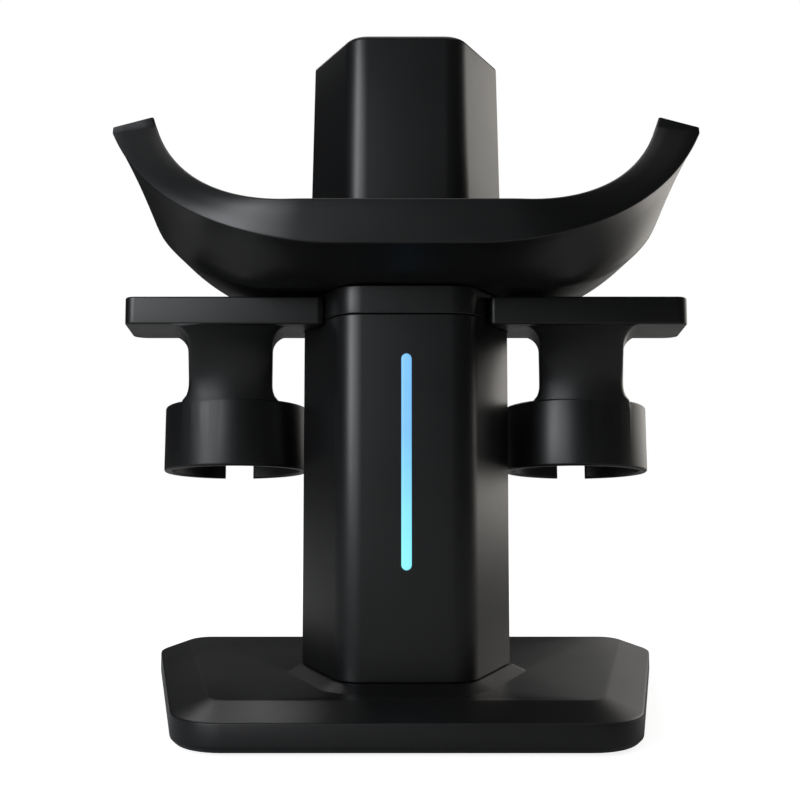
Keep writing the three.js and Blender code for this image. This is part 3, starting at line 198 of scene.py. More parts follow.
def make_grain_group():
    """Fine moulded grain: colour drift, roughness drift and height, from object coordinates."""
    group = bpy.data.node_groups.new("moulded_grain", "ShaderNodeTree")
    sockets_in(group, ("Color", "Color", (0.02, 0.02, 0.02, 1)), ("Roughness", "Float", 0.4),
               ("Drift", "Float", 0.1), ("Grain per metre", "Float", 2600.0))
    sockets_out(group, ("Color", "Color"), ("Roughness", "Float"), ("Height", "Float"))
    into = node(group, "NodeGroupInput")
    outof = node(group, "NodeGroupOutput")
    place = node(group, "ShaderNodeTexCoord")
    grain = node(group, "ShaderNodeTexNoise", {"Detail": 3})
    cloud = node(group, "ShaderNodeTexNoise", {"Scale": 28, "Detail": 4})
    centred = node(group, "ShaderNodeMath", {1: 0.5}, operation="SUBTRACT")
    scaled = node(group, "ShaderNodeMath", operation="MULTIPLY")
    speck = node(group, "ShaderNodeMath", {1: 0.06}, operation="MULTIPLY_ADD")
    rough = node(group, "ShaderNodeMath", operation="ADD")
    bright = node(group, "ShaderNodeMath", {1: 1.6, 2: 1.0}, operation="MULTIPLY_ADD")
    tint = node(group, "ShaderNodeVectorMath", operation="SCALE")
    wire(group,
         (into.outputs["Grain per metre"], grain.inputs["Scale"]),
         (place.outputs["Object"], grain.inputs["Vector"]),
         (place.outputs["Object"], cloud.inputs["Vector"]),
         (cloud.outputs["Fac"], centred.inputs[0]),
         (centred.outputs[0], scaled.inputs[0]), (into.outputs["Drift"], scaled.inputs[1]),
         (grain.outputs["Fac"], speck.inputs[0]), (scaled.outputs[0], speck.inputs[2]),
         (into.outputs["Roughness"], rough.inputs[0]), (speck.outputs[0], rough.inputs[1]),
         (scaled.outputs[0], bright.inputs[0]),
         (into.outputs["Color"], tint.inputs[0]), (bright.outputs[0], tint.inputs["Scale"]),
         (tint.outputs[0], outof.inputs["Color"]), (rough.outputs[0], outof.inputs["Roughness"]),
         (grain.outputs["Fac"], outof.inputs["Height"]))
    return group


grain_group = make_grain_group()


def moulded_plastic(name, color, roughness, drift, grain_per_metre, grain_depth):
    """Plastic with its own colour and grain; grain_depth is in metres."""
    material, tree, shader = new_material(name)
    grain = node(tree, "ShaderNodeGroup", node_tree=grain_group)
    values = {"Color": (*color, 1), "Roughness": roughness, "Drift": drift,
              "Grain per metre": grain_per_metre}
    for socket, value in values.items():
        grain.inputs[socket].default_value = value
    bump = node(tree, "ShaderNodeBump", {"Strength": 1.0, "Distance": grain_depth})
    wire(tree,
         (grain.outputs["Color"], shader.inputs["Base Color"]),
         (grain.outputs["Roughness"], shader.inputs["Roughness"]),
         (grain.outputs["Height"], bump.inputs["Height"]),
         (bump.outputs["Normal"], shader.inputs["Normal"]))
    shader.inputs["Specular IOR Level"].default_value = 0.5
    return material


satin_black = moulded_plastic("satin_black", (0.0045, 0.0046, 0.005), 0.34, 0.10, 2600, 0.000012)
matt_black = moulded_plastic("matt_black", (0.016, 0.016, 0.0165), 0.55, 0.08, 1800, 0.00003)

# ---------------------------------------------------------------------------------------------
# Base shell: one low moulding, wider at the back, with an upright rim, a broad bevel and a thin
# plinth around the column's foot. Its underside is open and the base plate closes it.


def grown(corners, distance):
    """Moves each side of an outline outwards. A corner is (x, y, radius)."""
    result = []
    for i, (x, y, radius) in enumerate(corners):
        before, after = corners[i - 1], corners[(i + 1) % len(corners)]
        a = (Vector((x, y)) - Vector(before[:2])).normalized()
        b = (Vector(after[:2]) - Vector((x, y))).normalized()
        n1, n2 = Vector((a.y, -a.x)), Vector((b.y, -b.x))
        move = (n1 + n2) * (distance / (1 + n1.dot(n2)))
        result.append((x + move.x, y + move.y, max(radius + distance, 0.3 * mm)))
    return result


def rounded(corners, steps, between=0):
    """Points along an outline: an arc at each corner, and evenly spaced points along each side."""
    arcs = []
    for i, (x, y, radius) in enumerate(corners):
        here = Vector((x, y))
        a = (Vector(corners[i - 1][:2]) - here).normalized()
        b = (Vector(corners[(i + 1) % len(corners)][:2]) - here).normalized()
        half = math.acos(max(-1, min(1, a.dot(b)))) / 2
        centre = here + (a + b).normalized() * (radius / math.sin(half))
        start = here + a * (radius / math.tan(half)) - centre
        sweep = math.copysign(math.pi - 2 * half, b.x * a.y - b.y * a.x)
        arcs.append([centre + Matrix.Rotation(sweep * k / steps, 2) @ start for k in range(steps + 1)])
    points = []
    for arc, following in zip(arcs, arcs[1:] + arcs[:1]):
        points += arc
        points += [arc[-1].lerp(following[0], k / (between + 1)) for k in range(1, between + 1)]
    return points


def level(corners, z, steps=10):
    return [Vector((p.x, p.y, z)) for p in rounded(corners, steps)]


def loft(name, rings, closed=False):
    """A mesh through rings of equal length. closed joins the last ring to the first."""
    count = len(rings[0])
    mesh = bpy.data.meshes.new(name)
    vertices = [p for ring in rings for p in ring]
    faces = []
    last = len(rings) if closed else len(rings) - 1
    for k in range(last):
        below, above = k * count, ((k + 1) % len(rings)) * count
        for i in range(count):
            j = (i + 1) % count
            faces.append((below + i, below + j, above + j, above + i))
    if not closed:
        faces.append(tuple(reversed(range(count))))
        faces.append(tuple(range((len(rings) - 1) * count, len(rings) * count)))
    mesh.from_pydata([tuple(v) for v in vertices], [], faces)
    piece = bpy.data.objects.new(name, mesh)
    bpy.context.collection.objects.link(piece)
    return piece


def baked(piece):
    """Turns a piece with modifiers into a plain mesh at the origin."""
    depsgraph = bpy.context.evaluated_depsgraph_get()
    mesh = bpy.data.meshes.new_from_object(piece.evaluated_get(depsgraph))
    piece.modifiers.clear()
    old = piece.data
    piece.data = mesh
    bpy.data.meshes.remove(old)
    return piece


def carve(piece, tools, operation="DIFFERENCE"):
    """Cuts the tools out of a piece, or joins them to it, and removes them."""
    for tool in tools:
        boolean = piece.modifiers.new("cut", "BOOLEAN")
        boolean.operation = operation
        boolean.solver = "EXACT"
        boolean.object = tool
    baked(piece)
    for tool in tools:
        bpy.data.objects.remove(tool, do_unlink=True)
    return piece


def soften(piece, width, segments, angle):
    """Breaks every sharp edge with a small round, as a mould's edges are."""
    bevel = piece.modifiers.new("edges", "BEVEL")
    bevel.width = width
    bevel.segments = segments
    bevel.limit_method = "ANGLE"
    bevel.angle_limit = math.radians(angle)
    bevel.miter_outer = "MITER_ARC"
    bevel.use_clamp_overlap = True
    return baked(piece)


def finish_piece(piece, material, slot, body, *nodes, smooth=32):
    """Shades a piece, gives it its finish and puts it in place of its CAD nodes."""
    mesh = piece.data
    fix = bmesh.new()
    fix.from_mesh(mesh)
    bmesh.ops.remove_doubles(fix, verts=fix.verts, dist=1e-6)
    bmesh.ops.recalc_face_normals(fix, faces=fix.faces)
    fix.to_mesh(mesh)
    fix.free()
    mesh.materials.clear()
    mesh.materials.append(material)
    mesh.polygons.foreach_set("use_smooth", [True] * len(mesh.polygons))
    mesh.polygons.foreach_set("material_index", [0] * len(mesh.polygons))
    mesh.set_sharp_from_angle(angle=math.radians(smooth))
    mesh.update()
    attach(piece, body)
    if nodes:
        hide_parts(*nodes)
    return piece


def oblong(x0, y0, x1, y1, corner):
    """The four corners of a rectangle, for rounded."""
    return [(x0, y0, corner), (x1, y0, corner), (x1, y1, corner), (x0, y1, corner)]


def prism(name, corners, z0, z1, steps=10):
    return loft(name, [level(corners, z0, steps), level(corners, z1, steps)])


def turned(name, profile, sides, place, axis=(0, 0, 1)):
    """A solid of revolution: profile is (radius, height) from the axis back to the axis."""
    turn = Vector((0, 0, 1)).rotation_difference(Vector(axis)).to_matrix()
    mesh = bpy.data.meshes.new(name)
    build = bmesh.new()
    rows = []
    for radius, height in profile:
        if radius < 1e-7:
            rows.append([build.verts.new(Vector(place) + turn @ Vector((0, 0, height)))])
            continue
        rows.append([
            build.verts.new(Vector(place) + turn @ Vector((
                radius * math.cos(2 * math.pi * k / sides),
                radius * math.sin(2 * math.pi * k / sides), height)))
            for k in range(sides)])
    for lower, upper in zip(rows, rows[1:]):
        for k in range(sides):
            j = (k + 1) % sides
            if len(lower) == 1:
                build.faces.new((lower[0], upper[j], upper[k]))
            elif len(upper) == 1:
                build.faces.new((lower[k], lower[j], upper[0]))
            else:
                build.faces.new((lower[k], lower[j], upper[j], upper[k]))
    build.to_mesh(mesh)
    build.free()
    piece = bpy.data.objects.new(name, mesh)
    bpy.context.collection.objects.link(piece)
    return piece


shell_low, shell_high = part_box("base_shell")
column_low, column_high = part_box("column_front")
rear_low, rear_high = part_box("column_rear")
socket_low, socket_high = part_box("usb_socket")
button_low, button_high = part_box("light_button")
COLUMN_Y = (column_low[1] + rear_high[1]) / 2
BASE_FRONT_HALF = 84 * mm
BASE_BACK_HALF = 128.5 * mm
BASE_CORNER = 23 * mm
BASE_BEVEL = 14 * mm
BASE_RISE = 4.9 * mm
BASE_WALL = 2.6 * mm
PLINTH_RISE = 2.8 * mm
PLINTH_SPREAD = 6.5 * mm
UNDERCUT = 1.6 * mm
SOCKET_GAP = 0.35 * mm
SOCKET_CORNER = 1.9 * mm
base_outline = [
    (-BASE_FRONT_HALF, shell_low[1], BASE_CORNER), (BASE_FRONT_HALF, shell_low[1], BASE_CORNER),
    (BASE_BACK_HALF, shell_high[1], BASE_CORNER), (-BASE_BACK_HALF, shell_high[1], BASE_CORNER),
]


def hexagon(front_half, wide_half, half_depth, front_radius, wide_radius):
    """The section of the column and the mast, counter-clockwise from its front left corner."""
    return [
        (-front_half, COLUMN_Y - half_depth, front_radius),
        (front_half, COLUMN_Y - half_depth, front_radius),
        (wide_half, COLUMN_Y, wide_radius),
        (front_half, COLUMN_Y + half_depth, front_radius),
        (-front_half, COLUMN_Y + half_depth, front_radius),
        (-wide_half, COLUMN_Y, wide_radius),
    ]


COLUMN_HALF_DEPTH = (rear_high[1] - column_low[1]) / 2
COLUMN_FRONT_HALF = 25.2 * mm
COLUMN_WIDE_HALF = 44.5 * mm
COLUMN_FRONT_R = 12.5 * mm
COLUMN_WIDE_R = 3 * mm
column_outline = hexagon(
    COLUMN_FRONT_HALF, COLUMN_WIDE_HALF, COLUMN_HALF_DEPTH, COLUMN_FRONT_R, COLUMN_WIDE_R)

deck_z = shell_high[2] - PLINTH_RISE
rim_z = deck_z - BASE_RISE
ease = 0.5 * mm      # size of the rounds between the shell's faces
base_rings = [
    level(grown(base_outline, -UNDERCUT - BASE_WALL), shell_low[2] + 6 * mm),
    level(grown(base_outline, -UNDERCUT - BASE_WALL), shell_low[2]),
    level(grown(base_outline, -UNDERCUT - 0.3 * mm), shell_low[2]),
    level(grown(base_outline, -UNDERCUT), shell_low[2] + 0.25 * mm),
    level(grown(base_outline, -0.35 * mm), shell_low[2] + 1.5 * mm),
    level(grown(base_outline, -0.06 * mm), shell_low[2] + 2.0 * mm),
    level(base_outline, shell_low[2] + 2.8 * mm),
    level(base_outline, rim_z - ease),
    level(grown(base_outline, -0.15 * ease), rim_z - 0.35 * ease),
    level(grown(base_outline, -0.6 * ease), rim_z + 0.05 * ease),
    level(grown(base_outline, -1.6 * ease), rim_z + 0.4 * ease),
    level(grown(base_outline, -BASE_BEVEL + 1.6 * ease), deck_z - 0.45 * ease),
    level(grown(base_outline, -BASE_BEVEL), deck_z - 0.08 * ease),
    level(grown(base_outline, -BASE_BEVEL - 1.6 * ease), deck_z),
]
base_shell = loft("base_shell_moulding", base_rings)
plinth = loft("plinth", [
    level(grown(column_outline, PLINTH_SPREAD + 0.5 * mm), deck_z - 1 * mm),
    level(grown(column_outline, PLINTH_SPREAD + 0.5 * mm), deck_z),
    level(grown(column_outline, PLINTH_SPREAD - 0.4 * mm), deck_z + 0.25 * mm),
    level(grown(column_outline, 1.4 * mm), deck_z + PLINTH_RISE - 0.25 * mm),
    level(grown(column_outline, 0.7 * mm), deck_z + PLINTH_RISE),
])
carve(base_shell, [plinth], "UNION")
socket_cut = prism("socket_cut", oblong(
    socket_low[0] - SOCKET_GAP, socket_low[2] - SOCKET_GAP,
    socket_high[0] + SOCKET_GAP, socket_high[2] + SOCKET_GAP, SOCKET_CORNER), 0, 9 * mm)
socket_cut.data.transform(
    Matrix.Translation((0, shell_high[1] + 2 * mm, 0)) @ Matrix.Rotation(math.radians(90), 4, "X"))
button_middle = [(a + b) / 2 for a, b in zip(button_low, button_high)]
button_radius = (button_high[0] - button_low[0]) / 2
button_cut = turned("button_cut", [
    (0, -8 * mm), (button_radius + 0.3 * mm, -8 * mm),
    (button_radius + 0.3 * mm, 2 * mm), (0, 2 * mm)],
    48, (button_middle[0], shell_high[1], button_middle[2]), (0, 1, 0))
carve(base_shell, [socket_cut, button_cut])
finish_piece(base_shell, satin_black, "satin_plastic", BODY, "base_shell")

# ---------------------------------------------------------------------------------------------
# Base plate, feet and base screws: a flat moulded lid let into the shell's open underside, four
# rubber feet bonded to it, and six pan-head screws driven up through it into the shell's bosses.
FOOT_EDGE = 0.5 * mm
DRIVE_DEPTH = 0.6       # of a screw's recess, as a share of its head's height


def dress(material, *names):
    """Gives CAD nodes that keep their own shape their finish."""
    for name in names:
        mesh = frame["nodes"][name].data
        mesh.materials.clear()
        mesh.materials.append(material)


def speckled(name, color, speck, metallic, roughness, scale, stretch=(1, 1, 1)):
    """A material whose colour and roughness wander between two tones along a stretched noise."""
    material, tree, shader = new_material(name)
    place = node(tree, "ShaderNodeTexCoord")
    mapping = node(tree, "ShaderNodeMapping", {"Scale": stretch})
    noise = node(tree, "ShaderNodeTexNoise", {"Scale": scale, "Detail": 5})
    tones = node(tree, "ShaderNodeMix", data_type="RGBA")
    tones.inputs["A"].default_value = (*color, 1)
    tones.inputs["B"].default_value = (*speck, 1)
    polish = node(tree, "ShaderNodeMapRange", {"To Min": roughness - 0.1, "To Max": roughness + 0.1})
    bump = node(tree, "ShaderNodeBump", {"Distance": 0.02 * mm})
    wire(tree,
         (place.outputs["Object"], mapping.inputs["Vector"]),
         (mapping.outputs["Vector"], noise.inputs["Vector"]),
         (noise.outputs["Fac"], tones.inputs["Factor"]),
         (noise.outputs["Fac"], polish.inputs["Value"]),
         (noise.outputs["Fac"], bump.inputs["Height"]),
         (tones.outputs["Result"], shader.inputs["Base Color"]),
         (polish.outputs["Result"], shader.inputs["Roughness"]),
         (bump.outputs["Normal"], shader.inputs["Normal"]))
    shader.inputs["Metallic"].default_value = metallic
    return material


soft_rubber = speckled("soft_rubber", (0.012, 0.012, 0.012), (0.022, 0.022, 0.021), 0, 0.8, 900)
plated_steel = speckled("plated_steel", (0.42, 0.43, 0.45), (0.3, 0.31, 0.33), 1, 0.34, 700)
black_screw = speckled("blackened_screw", (0.03, 0.03, 0.032), (0.06, 0.06, 0.06), 1, 0.42, 900)


def make_screw_tree():
    """Screw heads with a six-lobed recess, one on each point."""
    tree = bpy.data.node_groups.new("screw_heads", "GeometryNodeTree")
    sockets_in(tree, ("Points", "Geometry", None), ("Head radius", "Float", 3 * mm),
               ("Head height", "Float", 2 * mm), ("Recess share", "Float", 0.45),
               ("Recess depth", "Float", 1 * mm), ("Turn", "Rotation", (0, 0, 0)),
               ("Finish", "Material", None))
    sockets_out(tree, ("Screws", "Geometry"))
    into = node(tree, "NodeGroupInput")
    outof = node(tree, "NodeGroupOutput")

    def share(value, socket):
        scaled = node(tree, "ShaderNodeMath", {1: value}, operation="MULTIPLY")
        wire(tree, (socket, scaled.inputs[0]))
        return scaled.outputs[0]

    def extrude(mesh, face, length):
        step = node(tree, "GeometryNodeExtrudeMesh", mode="FACES")
        wire(tree, (mesh, step.inputs["Mesh"]), (length, step.inputs["Offset Scale"]))
        if face is not None:
            wire(tree, (face, step.inputs["Selection"]))
        return step.outputs["Mesh"], step.outputs["Top"]

    def shrink(mesh, face, amount):
        step = node(tree, "GeometryNodeScaleElements")
        wire(tree, (mesh, step.inputs["Geometry"]), (face, step.inputs["Selection"]))
        if isinstance(amount, float):
            step.inputs["Scale"].default_value = amount
        else:
            wire(tree, (amount, step.inputs["Scale"]))
        return step.outputs["Geometry"]

    disc = node(tree, "GeometryNodeMeshCircle", {"Vertices": 36}, fill_type="NGON")
    wire(tree, (into.outputs["Head radius"], disc.inputs["Radius"]))
    height = into.outputs["Head height"]
    mesh, top = extrude(disc.outputs["Mesh"], None, share(0.62, height))
    mesh, top = extrude(mesh, top, share(0.26, height))
    mesh = shrink(mesh, top, 0.94)
    mesh, top = extrude(mesh, top, share(0.12, height))
    mesh = shrink(mesh, top, 0.84)
    mesh, top = extrude(mesh, top, share(0.0, height))
    mesh = shrink(mesh, top, into.outputs["Recess share"])
    mesh, top = extrude(mesh, top, share(-1.0, into.outputs["Recess depth"]))
    position = node(tree, "GeometryNodeInputPosition")
    apart = node(tree, "ShaderNodeSeparateXYZ")
    angle = node(tree, "ShaderNodeMath", operation="ARCTAN2")
    wave = node(tree, "ShaderNodeMath", operation="SINE")
    lobes = node(tree, "ShaderNodeMath", {1: 0.14, 2: 0.0}, operation="MULTIPLY_ADD")
    outwards = node(tree, "ShaderNodeVectorMath", {1: (1, 1, 0)}, operation="MULTIPLY")
    shift = node(tree, "ShaderNodeVectorMath", operation="SCALE")
    move = node(tree, "GeometryNodeSetPosition")
    turned_head = node(tree, "GeometryNodeTransform")
    placed = node(tree, "GeometryNodeInstanceOnPoints")
    real = node(tree, "GeometryNodeRealizeInstances")
    painted = node(tree, "GeometryNodeSetMaterial")
    wire(tree,
         (position.outputs[0], apart.inputs[0]),
         (apart.outputs["Y"], angle.inputs[0]), (apart.outputs["X"], angle.inputs[1]),
         (share(6.0, angle.outputs[0]), wave.inputs[0]), (wave.outputs[0], lobes.inputs[0]),
         (position.outputs[0], outwards.inputs[0]), (outwards.outputs[0], shift.inputs[0]),
         (lobes.outputs[0], shift.inputs["Scale"]),
         (mesh, move.inputs["Geometry"]), (top, move.inputs["Selection"]),
         (shift.outputs[0], move.inputs["Offset"]),
         (move.outputs[0], turned_head.inputs["Geometry"]),
         (into.outputs["Turn"], turned_head.inputs["Rotation"]),
         (into.outputs["Points"], placed.inputs["Points"]),
         (turned_head.outputs[0], placed.inputs["Instance"]), (placed.outputs[0], real.inputs[0]),
         (real.outputs[0], painted.inputs["Geometry"]),
         (into.outputs["Finish"], painted.inputs["Material"]), (painted.outputs[0], outof.inputs[0]))
    return tree


screw_tree = make_screw_tree()


def screws(name, places, head_radius, head_height, turn, material, nodes):
    """Screw heads at the given places, in place of the CAD screws."""
    mesh = bpy.data.meshes.new(name)
    mesh.from_pydata([tuple(p) for p in places], [], [])
    piece = bpy.data.objects.new(name, mesh)
    bpy.context.collection.objects.link(piece)
    heads = piece.modifiers.new("heads", "NODES")
    heads.node_group = screw_tree
    values = {
        "Head radius": head_radius, "Head height": head_height, "Recess share": 0.5,
        "Recess depth": DRIVE_DEPTH * head_height, "Turn": turn, "Finish": material}
    for socket in screw_tree.interface.items_tree:
        if socket.in_out == "INPUT" and socket.name in values:
            heads[socket.identifier] = values[socket.name]
    baked(piece)
    return finish_piece(piece, material, "steel", BODY, *nodes)


def middle_of(name):
    lowest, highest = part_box(name)
    return [(a + b) / 2 for a, b in zip(lowest, highest)]


dress(matt_black, "base_plate")
for number in range(1, 5):
    foot_low, foot_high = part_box(f"foot_{number}")
    foot_x, foot_y = middle_of(f"foot_{number}")[:2]
    radius = (foot_high[0] - foot_low[0]) / 2
    foot = turned(f"rubber_foot_{number}", [
        (0, foot_low[2] + 0.15 * mm), (radius * 0.45, foot_low[2] + 0.15 * mm),
        (radius * 0.5, foot_low[2]), (radius - 1.4 * FOOT_EDGE, foot_low[2]),
        (radius - 0.4 * FOOT_EDGE, foot_low[2] + 0.3 * FOOT_EDGE),
        (radius, foot_low[2] + FOOT_EDGE), (radius, foot_high[2]), (0, foot_high[2]),
    ], 56, (foot_x, foot_y, 0))
    finish_piece(foot, soft_rubber, "rubber", BODY, f"foot_{number}")

base_screw_names = [f"base_screw_{k}" for k in range(1, 7)]
screw_low, screw_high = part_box(base_screw_names[0])
screw_radius = (screw_high[1] - screw_low[1]) / 2
BASE_HEAD_HEIGHT = 1.4 * mm
screws("base_screw_heads",
       [(middle_of(n)[0], middle_of(n)[1], screw_low[2] + BASE_HEAD_HEIGHT) for n in base_screw_names],
       screw_radius, BASE_HEAD_HEIGHT, (math.pi, 0, 0), black_screw, base_screw_names)

# ---------------------------------------------------------------------------------------------
# Inside the base: two steel weights, the charging board with the power socket and the button's
# switch, and the lead that runs forward to the light strip. Only the socket's mouth shows.
board_green = speckled("board_green", (0.008, 0.06, 0.03), (0.012, 0.09, 0.05), 0, 0.45, 500)
socket_steel = speckled(
    "socket_steel", (0.5, 0.5, 0.51), (0.38, 0.38, 0.4), 1, 0.28, 1500, (1, 0.15, 1))
dress(plated_steel, "ballast_left", "ballast_right")
dress(board_green, "charge_board", "led_board")
dress(matt_black, "button_switch")
dress(soft_rubber, "led_lead")


def slab(name, lowest, highest, corner):
    """A bar along Y whose section is a rectangle with rounded corners."""
    section = rounded(oblong(lowest[0], lowest[2], highest[0], highest[2], corner), 8)
    rings = [[Vector((p.x, y, p.y)) for p in section] for y in (highest[1], lowest[1])]
    return loft(name, rings)


SHEET = 0.35 * mm
socket_half_t = (socket_high[2] - socket_low[2]) / 2
socket = slab("usb_c_socket", socket_low, socket_high, socket_half_t * 0.98)
socket_mouth = slab(
    "socket_mouth",
    (socket_low[0] + SHEET, socket_low[1] + 1.5 * mm, socket_low[2] + SHEET),
    (socket_high[0] - SHEET, socket_high[1] + 1 * mm, socket_high[2] - SHEET),
    (socket_half_t - SHEET) * 0.98)
carve(socket, [socket_mouth])
tongue_z = (socket_low[2] + socket_high[2]) / 2
socket_tongue = slab(
    "socket_tongue",
    (socket_low[0] + 1.2 * mm, socket_low[1] + 1 * mm, tongue_z - 0.35 * mm),
    (socket_high[0] - 1.2 * mm, socket_high[1] - 1 * mm, tongue_z + 0.35 * mm), 0.15 * mm)
finish_piece(socket, socket_steel, "steel", BODY, "usb_socket")
finish_piece(socket_tongue, matt_black, "inner_plastic", BODY)

# ---------------------------------------------------------------------------------------------
# Light button: a round moulded cap with a shallow dish for the finger, sliding in the shell's
# back wall beside the power socket.
BUTTON_DISH = 0.35 * mm
button_depth = button_high[1] - button_low[1]
dish = [(button_radius * 0.8 * math.sin(a), button_depth - BUTTON_DISH * math.cos(a))
        for a in (math.pi / 2 * k / 6 for k in range(1, 7))]
button = turned("light_button_cap", [
    (0, 0), (button_radius, 0), (button_radius, button_depth - 0.45 * mm),
    (button_radius - 0.12 * mm, button_depth - 0.16 * mm),
    (button_radius - 0.42 * mm, button_depth), *reversed(dish), (0, button_depth - BUTTON_DISH),
], 64, (button_middle[0], button_low[1], button_middle[2]), (0, 1, 0))
finish_piece(button, satin_black, "satin_plastic", "light_button", "light_button")

# ---------------------------------------------------------------------------------------------
# Post: a square galvanised steel tube on a welded flange, bolted down through the base shell. It
# carries the cradle and the mast, and the covers hide it.
galvanised = speckled("galvanised_steel", (0.4, 0.42, 0.44), (0.22, 0.23, 0.25), 1, 0.5, 90)
dress(galvanised, "core_post")
dress(plated_steel, *(f"post_bolt_{k}" for k in range(1, 5)))

# ---------------------------------------------------------------------------------------------
# Column covers: a front and a rear half-shell that meet along the column's widest corners. The
# front one has the slot for the light strip, and the rear one has four deep screw recesses.
SEAM = 0.15 * mm
RECESS_R = 3.6 * mm
RECESS_DEPTH = 8 * mm    # of the clear bore behind a cover's face
COVER_WALL = 2.6 * mm
CRISP = 0.45 * mm       # round on a cover's rims
guide_low, guide_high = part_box("light_guide")
LIGHT_HALF = 1.9 * mm
LIGHT_END = 3 * mm      # the guide's rail runs this far past the strip
light_low = guide_low[2] + LIGHT_END
light_high = guide_high[2] - LIGHT_END


def cover_rings(outline, z0, z1, wall=COVER_WALL, top_round=CRISP):
    """Rings of a hollow cover: down the inside, then up the outside from its foot to its rim."""
    def at(inset, z):
        return level(grown(outline, -inset), z)
    arc = [math.pi / 2 * k / 4 for k in range(5)]
    foot_round = [at(CRISP * (1 - math.sin(a)), z0 + CRISP * (1 - math.cos(a))) for a in arc]
    head_round = [at(top_round * (1 - math.cos(a)), z1 - top_round * (1 - math.sin(a))) for a in arc]
    return [at(wall, z1), at(wall, z0), *foot_round, *head_round]


def half_cutter(side):
    """A cutter that leaves one side of the plane through the widest corners, less half a seam."""
    reach = 0.4
    cut_y = COLUMN_Y + side * SEAM
    front, back = sorted((cut_y, cut_y - side * reach))
    return slab("half_cutter", (-reach, front, -0.1), (reach, back, 0.6), 1 * mm)


def recess(place, radius, start_y, end_y):
    """A round cutter along Y at an (x, z) place."""
    return turned("recess", [
        (0, start_y), (radius, start_y), (radius, end_y), (0, end_y),
    ], 40, (place[0], 0, place[1]), (0, 1, 0))


def light_bar(name, half, y0, y1, z0, z1):
    """A bar with round ends, standing upright in the column's front."""
    section = rounded(oblong(-half, z0, half, z1, half * 0.999), 14)
    return loft(name, [[Vector((p.x, y, p.y)) for p in section] for y in (y1, y0)])


column_front = loft("column_front_cover", cover_rings(column_outline, column_low[2], column_high[2]),
                    closed=True)
slot_cut = light_bar("slot_cut", LIGHT_HALF + 0.15 * mm, column_low[1] - 5 * mm,
                     column_low[1] + 8 * mm, light_low - 0.15 * mm, light_high + 0.15 * mm)
carve(column_front, [half_cutter(-1), slot_cut])
finish_piece(column_front, satin_black, "satin_plastic", BODY, "column_front")

column_rear = loft("column_rear_cover", cover_rings(column_outline, rear_low[2], rear_high[2]),
                   closed=True)
cover_screw_names = [f"column_screw_{k}" for k in range(1, 5)]
column_screw_places = [(middle_of(n)[0], middle_of(n)[2]) for n in cover_screw_names]
carve(column_rear, [half_cutter(1)])
carve(column_rear, [
    recess(place, RECESS_R, rear_high[1] - RECESS_DEPTH, rear_high[1] + 2 * mm)
    for place in column_screw_places])
SLEEVE_R = 5.2 * mm
SLEEVE_LENGTH = 16 * mm
sleeves = [turned(f"column_screw_sleeve_{k}", [
    (RECESS_R, 0), (SLEEVE_R, 0), (SLEEVE_R, SLEEVE_LENGTH), (RECESS_R, SLEEVE_LENGTH), (RECESS_R, 0),
], 40, (place[0], rear_high[1] - SLEEVE_LENGTH - 1.5 * mm, place[1]), (0, 1, 0))
    for k, place in enumerate(column_screw_places, 1)]
carve(column_rear, sleeves, "UNION")
finish_piece(column_rear, satin_black, "satin_plastic", BODY, "column_rear")

# ---------------------------------------------------------------------------------------------
# Light strip: a milky polycarbonate guide clipped behind the front cover, with its face flush in
# the slot. The board behind it lights it sky blue at the top, turning to cyan at its foot.
GLOW_TOP = (0.2, 0.53, 0.92, 1)
GLOW_LOW = (0.27, 0.9, 1.0, 1)


def make_glow():
    material, tree, shader = new_material("lit_guide")
    place = node(tree, "ShaderNodeTexCoord")
    apart = node(tree, "ShaderNodeSeparateXYZ")
    climb = node(tree, "ShaderNodeMapRange",
                 {"From Min": light_low + 8 * mm, "From Max": light_high - 30 * mm})
    blend = node(tree, "ShaderNodeMix", data_type="RGBA")
    blend.inputs["A"].default_value = GLOW_LOW
    blend.inputs["B"].default_value = GLOW_TOP
    cloud = node(tree, "ShaderNodeTexNoise", {"Scale": 110})
    haze = node(tree, "ShaderNodeMapRange", {"To Min": 0.93, "To Max": 1.05})
    dim = node(tree, "ShaderNodeVectorMath", operation="SCALE")
    rough = node(tree, "ShaderNodeMapRange", {"To Min": 0.3, "To Max": 0.45})
    wire(tree,
         (place.outputs["Object"], apart.inputs[0]), (place.outputs["Object"], cloud.inputs["Vector"]),
         (apart.outputs["Z"], climb.inputs["Value"]), (climb.outputs["Result"], blend.inputs["Factor"]),
         (cloud.outputs["Fac"], haze.inputs["Value"]), (cloud.outputs["Fac"], rough.inputs["Value"]),
         (blend.outputs["Result"], dim.inputs[0]), (haze.outputs["Result"], dim.inputs["Scale"]),
         (dim.outputs[0], shader.inputs["Emission Color"]),
         (rough.outputs["Result"], shader.inputs["Roughness"]))
    shader.inputs["Emission Strength"].default_value = 1.0
    shader.inputs["Base Color"].default_value = (0.05, 0.1, 0.12, 1)
    return material


lit_guide = make_glow()
guide_face = guide_low[1]
strip_rings = []
for inset, depth in ((0.6, 0.0), (0.25, 0.04), (0.08, 0.15), (0.0, 0.4), (0.0, 3.6)):
    half = LIGHT_HALF - 0.15 * mm - inset * mm
    section = rounded(
        oblong(-half, light_low + inset * mm, half, light_high - inset * mm, half * 0.999), 14)
    strip_rings.append([Vector((p.x, guide_face + depth * mm, p.y)) for p in section])
light_guide = loft("light_guide_strip", strip_rings)
guide_rail = slab("guide_rail", (guide_low[0], guide_high[1] - 1.6 * mm, guide_low[2]),
                  guide_high, 0.4 * mm)
carve(light_guide, [guide_rail], "UNION")
finish_piece(light_guide, lit_guide, "light_guide", BODY, "light_guide")

